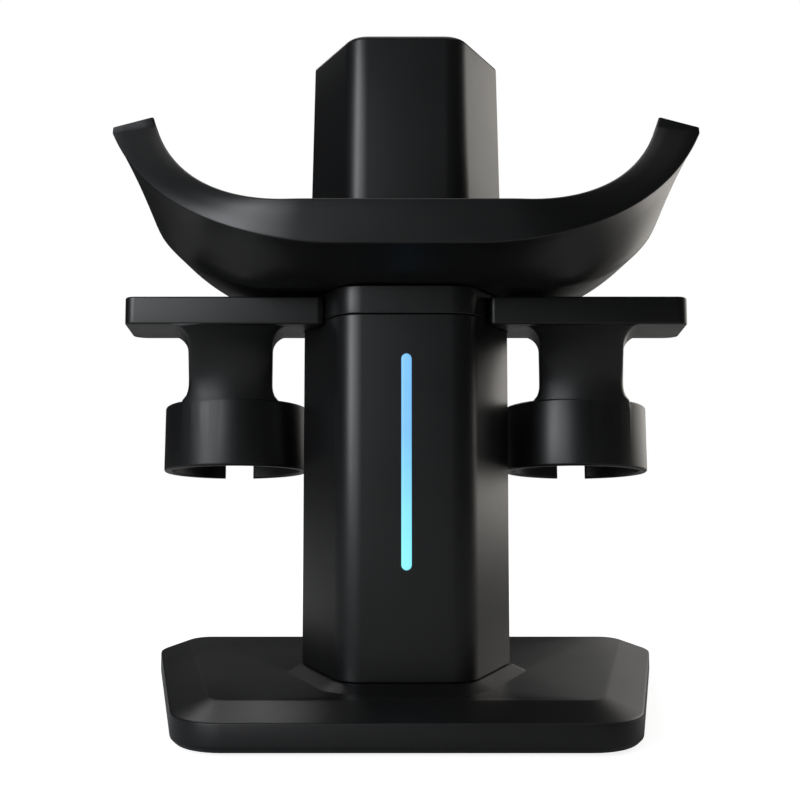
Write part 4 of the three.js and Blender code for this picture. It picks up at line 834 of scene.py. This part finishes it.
# ---------------------------------------------------------------------------------------------
# Screws of the covers: long pan-heads at the bottom of the rear recesses, two in the mast and four
# in the column. They pull each rear cover onto the posts behind its front cover.
mast_screw_names = ["mast_screw_1", "mast_screw_2"]
cover_head_low, cover_head_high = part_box(cover_screw_names[0])
HEAD_RADIUS = (cover_head_high[0] - cover_head_low[0]) / 2
HEAD_HEIGHT = 2.2 * mm
for group, names in (("column_screw_heads", cover_screw_names), ("mast_screw_heads", mast_screw_names)):
    screws(group,
           [(middle_of(n)[0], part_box(n)[1][1] - HEAD_HEIGHT, middle_of(n)[2]) for n in names],
           HEAD_RADIUS, HEAD_HEIGHT, (-math.pi / 2, 0, 0), black_screw, names)

# ---------------------------------------------------------------------------------------------
# Collar: a short moulding of the column's section that closes the column, holds the two arms by
# their tongues and carries the cradle on four bolts.
collar_low, collar_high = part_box("collar")
collar = loft("collar_moulding",
              cover_rings(column_outline, collar_low[2], collar_high[2], wall=3 * mm, top_round=0.3 * mm),
              closed=True)
finish_piece(collar, satin_black, "satin_plastic", BODY, "collar")
dress(plated_steel, *(f"arm_screw_{k}" for k in range(1, 5)), *(f"cradle_bolt_{k}" for k in range(1, 5)))

# ---------------------------------------------------------------------------------------------
# Arms: on each side a flat plate with a curved stem and a split ring below it, moulded in one
# piece. The ring takes a controller's grip, and its slot lets the wrist strap through.
arm_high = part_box("arm_right")[1]
ARM_T = 11.6 * mm
ARM_FRONT = 24 * mm
ARM_BACK = 20 * mm
ARM_EDGE = 0.9 * mm
ARM_GAP = 0.3 * mm      # from the plate to the column
ARM_NEAR_R, ARM_FAR_R, ARM_ROOT_R = 5 * mm, 6 * mm, 2.5 * mm   # corners: front, back, at the column
RING_R = 31.9 * mm
RING_WALL = 3.2 * mm
RING_H = 29 * mm
RING_EDGE = 1.1 * mm
RING_NEAR = 9.9 * mm
ARM_FLARE = 8 * mm      # how much further out the plate reaches at the back
RING_X = 76.8 * mm
RING_MARGIN = 7.3 * mm
RING_DROP = 58.4 * mm   # from the plate's top to the ring's middle
RING_TILT = math.radians(6)
RING_YAW = math.radians(7)
RING_SLOT = 13.2 * mm
STEM_HALF = 17.1 * mm
STEM_SHIFT = 1.1 * mm
STEM_T = 6.5 * mm
FLARE_TOP = 8.5 * mm
FLARE_LOW = 3.5 * mm
STEM_SPLAY = 6          # widening of the stem's outer side per metre of depth
ring_place = Vector((RING_X, COLUMN_Y + RING_R - RING_NEAR, arm_high[2] - RING_DROP))


def bezier(a, b, c, d, t):
    u = 1 - t
    return a * u ** 3 + b * 3 * u * u * t + c * 3 * u * t * t + d * t ** 3


def ring_solid():
    """The split ring about its own axis, with rounded rims."""
    inner, half = RING_R - RING_WALL, RING_H / 2
    r = RING_EDGE
    arc = [(math.cos(math.pi / 2 * k / 4), math.sin(math.pi / 2 * k / 4)) for k in range(5)]
    profile = [(RING_R - r + r * c, half - r + r * s) for c, s in arc]
    profile += [(inner + r - r * s, half - r + r * c) for c, s in arc]
    profile += [(inner + r - r * c, -half + r - r * s) for c, s in arc]
    profile += [(RING_R - r + r * s, -half + r - r * c) for c, s in arc]
    ring = turned("ring", profile + profile[:1], 112, (0, 0, 0))
    slot = prism("slot", oblong(
        -RING_SLOT / 2, inner - 6 * mm, RING_SLOT / 2, RING_R + 6 * mm, 0.3 * mm), -RING_H, RING_H, 2)
    carve(ring, [slot])
    soften(ring, 0.5 * mm, 2, 50)
    ring.data.transform(Matrix.Rotation(-RING_TILT, 4, "X"))
    return ring


def stem_solid():
    """A bracket that narrows from the plate's depth to the ring's near wall and bends to its curve."""
    near, far = -RING_R + 1.7 * mm, -RING_R + STEM_T
    top_z = RING_DROP - ARM_T + 0.6 * mm
    low_z = RING_H / 2 + RING_R * math.tan(RING_TILT)
    fall = top_z - low_z
    front_y = 1.2 * mm - (RING_R - RING_NEAR) - ARM_FRONT
    back_y = ARM_BACK - (RING_R - RING_NEAR) - 3 * mm
    front = [Vector((front_y, top_z)), Vector((front_y + fall * 0.24, top_z - fall * 0.24)),
             Vector((near - 0.6 * mm, low_z + fall * 0.55)), Vector((near, low_z - 1 * mm))]
    back = [Vector((back_y, top_z)), Vector((back_y - fall * 0.3, top_z - fall * 0.15)),
            Vector((far + 1 * mm, low_z + fall * 0.5)), Vector((far - 1.6 * mm, low_z - 0.2 * mm))]
    pairs = [(front[0] + Vector((0, 3 * mm)), back[0] + Vector((0, 3 * mm)), 0.0)]
    pairs += [(bezier(*front, k / 26), bezier(*back, k / 26), k / 26) for k in range(27)]
    pairs.append((Vector((near + 0.6 * mm, low_z - 6 * mm)), Vector((near + 2.2 * mm, low_z - 6 * mm)), 1.0))

    def half_width(z):
        flare_top = max(0.0, 1 - (top_z - z) / FLARE_TOP)
        flare_low = max(0.0, 1 - (z - low_z + 1 * mm) / (FLARE_LOW * 2))
        return (STEM_HALF + FLARE_TOP * (1 - math.sqrt(1 - min(flare_top, 1) ** 2))
                + FLARE_LOW * (1 - math.sqrt(1 - min(flare_low, 1) ** 2)))

    rings = []
    for start, end, t in pairs:
        depth = (end - start).length
        r = min(1.3 * mm, depth * 0.4)
        section = rounded(oblong(-STEM_HALF, 0, STEM_HALF, depth, r), 4, 10)
        ring = []
        for p in section:
            yz = start.lerp(end, p.y / depth)
            x = p.x * half_width(yz.y) / STEM_HALF
            if x > 0:
                x *= 1 + STEM_SPLAY * (yz.x - front_y)
            bend = min(1.0, t * 1.25) ** 1.5 * (RING_R - math.sqrt(RING_R ** 2 - min(abs(x), RING_R) ** 2))
            ring.append(Vector((x + STEM_SHIFT, yz.x + bend, yz.y)))
        rings.append(ring)
    return loft("stem", rings)


def arm(side):
    """One whole arm; side is 1 for the right and -1 for the left."""
    name = "arm_right" if side > 0 else "arm_left"
    plate_z = arm_high[2] - ARM_T
    edge_x = RING_X + RING_R + RING_MARGIN
    slope = (COLUMN_WIDE_HALF - COLUMN_FRONT_HALF) / COLUMN_HALF_DEPTH
    beside = COLUMN_WIDE_HALF + ARM_GAP * math.hypot(1, slope)
    outline = [
        (edge_x, COLUMN_Y - ARM_FRONT, ARM_NEAR_R),
        (edge_x + ARM_FLARE, COLUMN_Y + ARM_BACK, ARM_FAR_R),
        (beside - slope * ARM_BACK, COLUMN_Y + ARM_BACK, ARM_ROOT_R),
        (beside, COLUMN_Y, COLUMN_WIDE_R + ARM_GAP),
        (beside - slope * ARM_FRONT, COLUMN_Y - ARM_FRONT, ARM_ROOT_R)]
    arc = [math.pi / 2 * k / 5 for k in range(6)]
    rings = [level(grown(outline, -ARM_EDGE * (1 - math.sin(a))), plate_z + ARM_EDGE * (1 - math.cos(a)))
             for a in arc]
    rings += [level(grown(outline, -ARM_EDGE * (1 - math.cos(a))), arm_high[2] - ARM_EDGE * (1 - math.sin(a)))
              for a in arc]
    piece = loft(name + "_moulding", rings)
    ring, stem = ring_solid(), stem_solid()
    seat = Matrix.Translation(ring_place) @ Matrix.Rotation(-RING_YAW, 4, "Z")
    ring.data.transform(seat)
    stem.data.transform(seat)
    front_trim = slab("front_trim", (0, COLUMN_Y - ARM_FRONT - 20 * mm, 0.05),
                      (0.2, COLUMN_Y - ARM_FRONT + 0.25 * mm, 0.25), 1 * mm)
    carve(stem, [front_trim])
    carve(piece, [stem], "UNION")
    carve(piece, [ring], "UNION")
    if side < 0:
        piece.data.transform(Matrix.Scale(-1, 4, (1, 0, 0)))
    return finish_piece(piece, satin_black, "satin_plastic", BODY, name, smooth=36)


arm(1)
arm(-1)

# ---------------------------------------------------------------------------------------------
# Cradle shell: a deep curved trough whose front band sweeps up and back to two tips. It is one
# thick moulding with a rim around a shallow pocket, bolted to the collar. An edge is followed by
# its share of the way from the middle (0) to a tip (1).
cradle_low, cradle_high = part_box("cradle_shell")
BAND_FLAT, BAND_R, BAND_TIP = 44.6 * mm, 63 * mm, math.radians(73)
LIP_FLAT, LIP_RX, LIP_RZ, LIP_TIP = 27.3 * mm, 102.9 * mm, 91.9 * mm, math.radians(66)
BOWL_FLAT, BOWL_R, BOWL_ARC = 54 * mm, 62 * mm, math.radians(54)
BOWL_TIP = Vector((121 * mm, cradle_low[2] + 66.2 * mm))
BAND_RISE, LIP_RISE, TIP_RISE = 27.9 * mm, 10.7 * mm, 2.7 * mm
BAND_SWEEP, SWEEP_START, SWEEP_END = 38 * mm, 40 * mm, 115 * mm
BOWL_RUN = 27 * mm
REAR_T = 14 * mm
RIM = 2.8 * mm
POCKET = 3.4 * mm
LINER_SINK = 0.7 * mm
LINER_GAP = 0.8 * mm
CRADLE_STATIONS = 64
BAND_STRAIGHT, LIP_STRAIGHT, BOWL_STRAIGHT = 0.34, 0.2, 0.48   # share of each edge that is straight
LIP_END, BOWL_ARC_END = 0.96, 0.82      # share of the way to a tip where the curved stretch ends
HIGH = 0.1              # heights above half of this are counted down from the seat


def smooth_step(t):
    t = max(0.0, min(1.0, t))
    return t * t * (3 - 2 * t)


def trough(s, share, flat, rx, rz, z, tip):
    if s <= share:
        return Vector((flat * s / share, z))
    angle = tip * (s - share) / (1 - share)
    return Vector((flat + rx * math.sin(angle), z + rz * (1 - math.cos(angle))))


def upper_edge(s):
    return trough(s, BAND_STRAIGHT, BAND_FLAT, BAND_R, BAND_R, cradle_low[2] + BAND_RISE, BAND_TIP)


def lower_edge(s):
    z = cradle_low[2] + LIP_RISE
    point = trough(min(s / LIP_END, 1), LIP_STRAIGHT, LIP_FLAT, LIP_RX, LIP_RZ, z, LIP_TIP)
    point.y += TIP_RISE * max(0.0, (s - LIP_END) / (1 - LIP_END))
    return point


def bowl_edge(s):
    def curve(t):
        return trough(t, BOWL_STRAIGHT, BOWL_FLAT, BOWL_R, BOWL_R, cradle_low[2], BOWL_ARC)
    if s <= BOWL_ARC_END:
        return curve(s / BOWL_ARC_END)
    return curve(1).lerp(BOWL_TIP, (s - BOWL_ARC_END) / (1 - BOWL_ARC_END))


def seat_edge(s):
    along = (bowl_edge(min(s + 0.01, 1)) - bowl_edge(max(s - 0.01, 0))).normalized()
    return bowl_edge(s) + Vector((-along.y, along.x)) * REAR_T


def band_y(x):
    s = max(0.0, min(1.2, (abs(x) - SWEEP_START) / (SWEEP_END - SWEEP_START)))
    return cradle_low[1] + BAND_SWEEP * s * s


def trough_ends(s):
    """Front and back of the trough at a share of the way to a tip."""
    back = cradle_high[1] + (COLUMN_Y - cradle_high[1]) * smooth_step((s - 0.35) / 0.65)
    return band_y((upper_edge(s).x + lower_edge(s).x) / 2), back


def height_ratio(height, thick):
    """Heights near an edge keep their size, and those between are spread over what is left."""
    edge = 5 * mm
    if height < edge:
        return height / thick
    if height > HIGH - edge:
        return 1 - (HIGH - height) / thick
    return (edge + (height - edge) / (HIGH - 2 * edge) * (thick - 2 * edge)) / thick


def trough_ring(s, side, section, lift=None):
    """Places a section, drawn as (depth, height) points, across the trough at s."""
    top, lip, bowl, seat = upper_edge(s), lower_edge(s), bowl_edge(s), seat_edge(s)
    y0, y1 = trough_ends(s)
    run = min(BOWL_RUN, (y1 - y0) * 0.7)
    ring = []
    for p in section:
        share = smooth_step((p.x - y0) / run)
        under, upper = lip.lerp(bowl, share), top.lerp(seat, share)
        thick = (upper - under).length
        height = p.y
        if lift and lift[0] < p.x < lift[1] and height > HIGH / 2:
            height = HIGH
        at = under + (upper - under) * height_ratio(height, thick)
        ring.append(Vector((side * at.x, p.x, at.y)))
    return ring


def shell_section(s, inset=0.0):
    y0, y1 = trough_ends(s)
    y0, y1, low_h, high_h = y0 + inset, y1 - inset, inset, HIGH - inset
    return rounded([
        (y0, low_h, 0.7 * mm), (y1, low_h, 1.2 * mm), (y1, high_h, 1.2 * mm),
        (y1 - RIM, high_h, 0.35 * mm), (y1 - RIM, HIGH - POCKET - inset, 0.3 * mm),
        (y0 + RIM, HIGH - POCKET - inset, 0.3 * mm), (y0 + RIM, high_h, 0.35 * mm),
        (y0, high_h, 0.9 * mm)], 3, 14)


def liner_section(s):
    y0, y1 = trough_ends(s)
    edge = RIM + LINER_GAP
    return rounded([
        (y0 + edge, HIGH - POCKET + 0.3 * mm, 0.3 * mm), (y1 - edge, HIGH - POCKET + 0.3 * mm, 0.3 * mm),
        (y1 - edge, HIGH - LINER_SINK, 0.6 * mm), (y0 + edge, HIGH - LINER_SINK, 0.6 * mm)], 3, 14)


def both_ways(name, stations, ring_at):
    """A loft from the left tip through the middle to the right tip."""
    rings = [ring_at(s, -1) for s in reversed(stations[1:])]
    return loft(name, rings + [ring_at(s, 1) for s in stations])


POCKET_END = 0.958
shares = [POCKET_END * k / CRADLE_STATIONS for k in range(CRADLE_STATIONS + 1)]
tip_shares = [POCKET_END + 1e-5, 0.968, 0.98, 0.99, 0.997]


def shell_ring(s, side):
    y0, y1 = trough_ends(min(s, 1))
    lift = (y0 + RIM - 0.5 * mm, y1 - RIM + 0.5 * mm) if s > POCKET_END else None
    if s >= 1:
        return trough_ring(1, side, shell_section(1, 0.7 * mm), lift)
    return trough_ring(s, side, shell_section(s), lift)


cradle_shell = both_ways("cradle_trough", shares + tip_shares + [1], shell_ring)
mast_low, mast_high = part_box("mast_front")
mast_rear_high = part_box("mast_rear")[1]
mast_half_depth = (mast_rear_high[1] - mast_low[1]) / 2
mast_outline = hexagon(23.2 * mm, 42.6 * mm, mast_half_depth, 13 * mm, 3 * mm)
foot_well = prism("foot_well", grown(mast_outline, 0.2 * mm), mast_low[2] - 0.1 * mm, mast_low[2] + 50 * mm)
contact_mesh = frame["nodes"]["contact_head"].data
contact_axis = next(
    Vector(j["axis"]) for j in frame["record"]["behaviour"]["joints"] if j["name"] == "contact_press")
contact_out = -contact_axis.normalized()
contact_centre = sum((v.co for v in contact_mesh.vertices), Vector()) / len(contact_mesh.vertices)
contact_spans = [(v.co - contact_centre).dot(contact_out) for v in contact_mesh.vertices]
contact_foot = contact_centre + contact_out * min(contact_spans)
contact_length = max(contact_spans) - min(contact_spans)
contact_well = turned("contact_well", [
    (0, -9 * mm), (5.4 * mm, -9 * mm), (5.4 * mm, 9 * mm), (0, 9 * mm)], 48, contact_foot, contact_out)
carve(cradle_shell, [foot_well, contact_well])
finish_piece(cradle_shell, satin_black, "satin_plastic", BODY, "cradle_shell", smooth=40)

# ---------------------------------------------------------------------------------------------
# Cradle liner: a thin matt tray that drops into the shell's pocket and leaves a fine seam inside
# the rim. The headset rests on it, and it is cut out around the mast and the contact.
TRAY_END = 0.954
cradle_liner = both_ways(
    "cradle_tray", [TRAY_END * k / CRADLE_STATIONS for k in range(CRADLE_STATIONS + 1)],
    lambda s, side: trough_ring(s, side, liner_section(s)))
mast_hole = prism("mast_hole", grown(mast_outline, 0.6 * mm), mast_low[2], mast_low[2] + 60 * mm)
contact_hole = turned("contact_hole", [
    (0, -4 * mm), (3.0 * mm, -4 * mm), (3.0 * mm, 12 * mm), (0, 12 * mm)],
    48, contact_foot, contact_out)
carve(cradle_liner, [mast_hole, contact_hole])
finish_piece(cradle_liner, matt_black, "inner_plastic", BODY, "cradle_liner", smooth=40)

# ---------------------------------------------------------------------------------------------
# Charging contact: a gold-plated domed pin in the right wing. Its flange is trapped under the
# liner, and a spring in a small cup pushes it out against the headset.
gold_plate = speckled("gold_plate", (0.72, 0.5, 0.2), (0.6, 0.42, 0.16), 1, 0.26, 1200)
PIN_R = 2.6 * mm
dome = [(PIN_R * math.cos(a), contact_length - 1.1 * mm + 1.1 * mm * math.sin(a))
        for a in (math.pi / 2 * k / 8 for k in range(8))]
contact = turned("contact_pin", [
    (0, 0), (3.4 * mm, 0), (3.6 * mm, 0.2 * mm), (3.6 * mm, 1.0 * mm), (3.4 * mm, 1.2 * mm),
    (PIN_R, 1.2 * mm), *dome, (0, contact_length)], 56, contact_foot, contact_out)
finish_piece(contact, gold_plate, "contact_metal", "contact", "contact_head")
dress(matt_black, "contact_cup")
dress(plated_steel, "contact_spring")

# ---------------------------------------------------------------------------------------------
# Mast covers: the column's section again, slightly smaller and tapered, closed by a flat top with
# a rounded edge. Two long screws at the back hold the halves together around the post.
MAST_DRAFT = 2.1 * mm
MAST_CROWN = 2.2 * mm
MAST_WALL = 2.6 * mm


def mast_solid(name):
    foot_z, top_z = mast_low[2], mast_high[2]

    def at(inset, z):
        return level(grown(mast_outline, -inset - MAST_DRAFT * (z - foot_z) / (top_z - foot_z)), z)
    arc = [math.pi / 2 * k / 7 for k in range(8)]
    inside = [at(MAST_WALL, top_z - MAST_WALL), at(MAST_WALL, foot_z)]
    outside = [at(CRISP * (1 - math.sin(a)), foot_z + CRISP * (1 - math.cos(a))) for a in arc[::2]]
    outside += [at(MAST_CROWN * (1 - math.cos(a)), top_z - MAST_CROWN * (1 - math.sin(a))) for a in arc]
    return loft(name, inside + outside)


mast_front = mast_solid("mast_front_cover")
carve(mast_front, [half_cutter(-1)])
finish_piece(mast_front, satin_black, "satin_plastic", BODY, "mast_front")

mast_rear = mast_solid("mast_rear_cover")
mast_screw_places = [(middle_of(n)[0], middle_of(n)[2]) for n in mast_screw_names]
carve(mast_rear, [half_cutter(1)])
carve(mast_rear, [
    recess(place, RECESS_R, mast_rear_high[1] - RECESS_DEPTH, mast_rear_high[1] + 2 * mm)
    for place in mast_screw_places])
finish_piece(mast_rear, satin_black, "satin_plastic", BODY, "mast_rear")
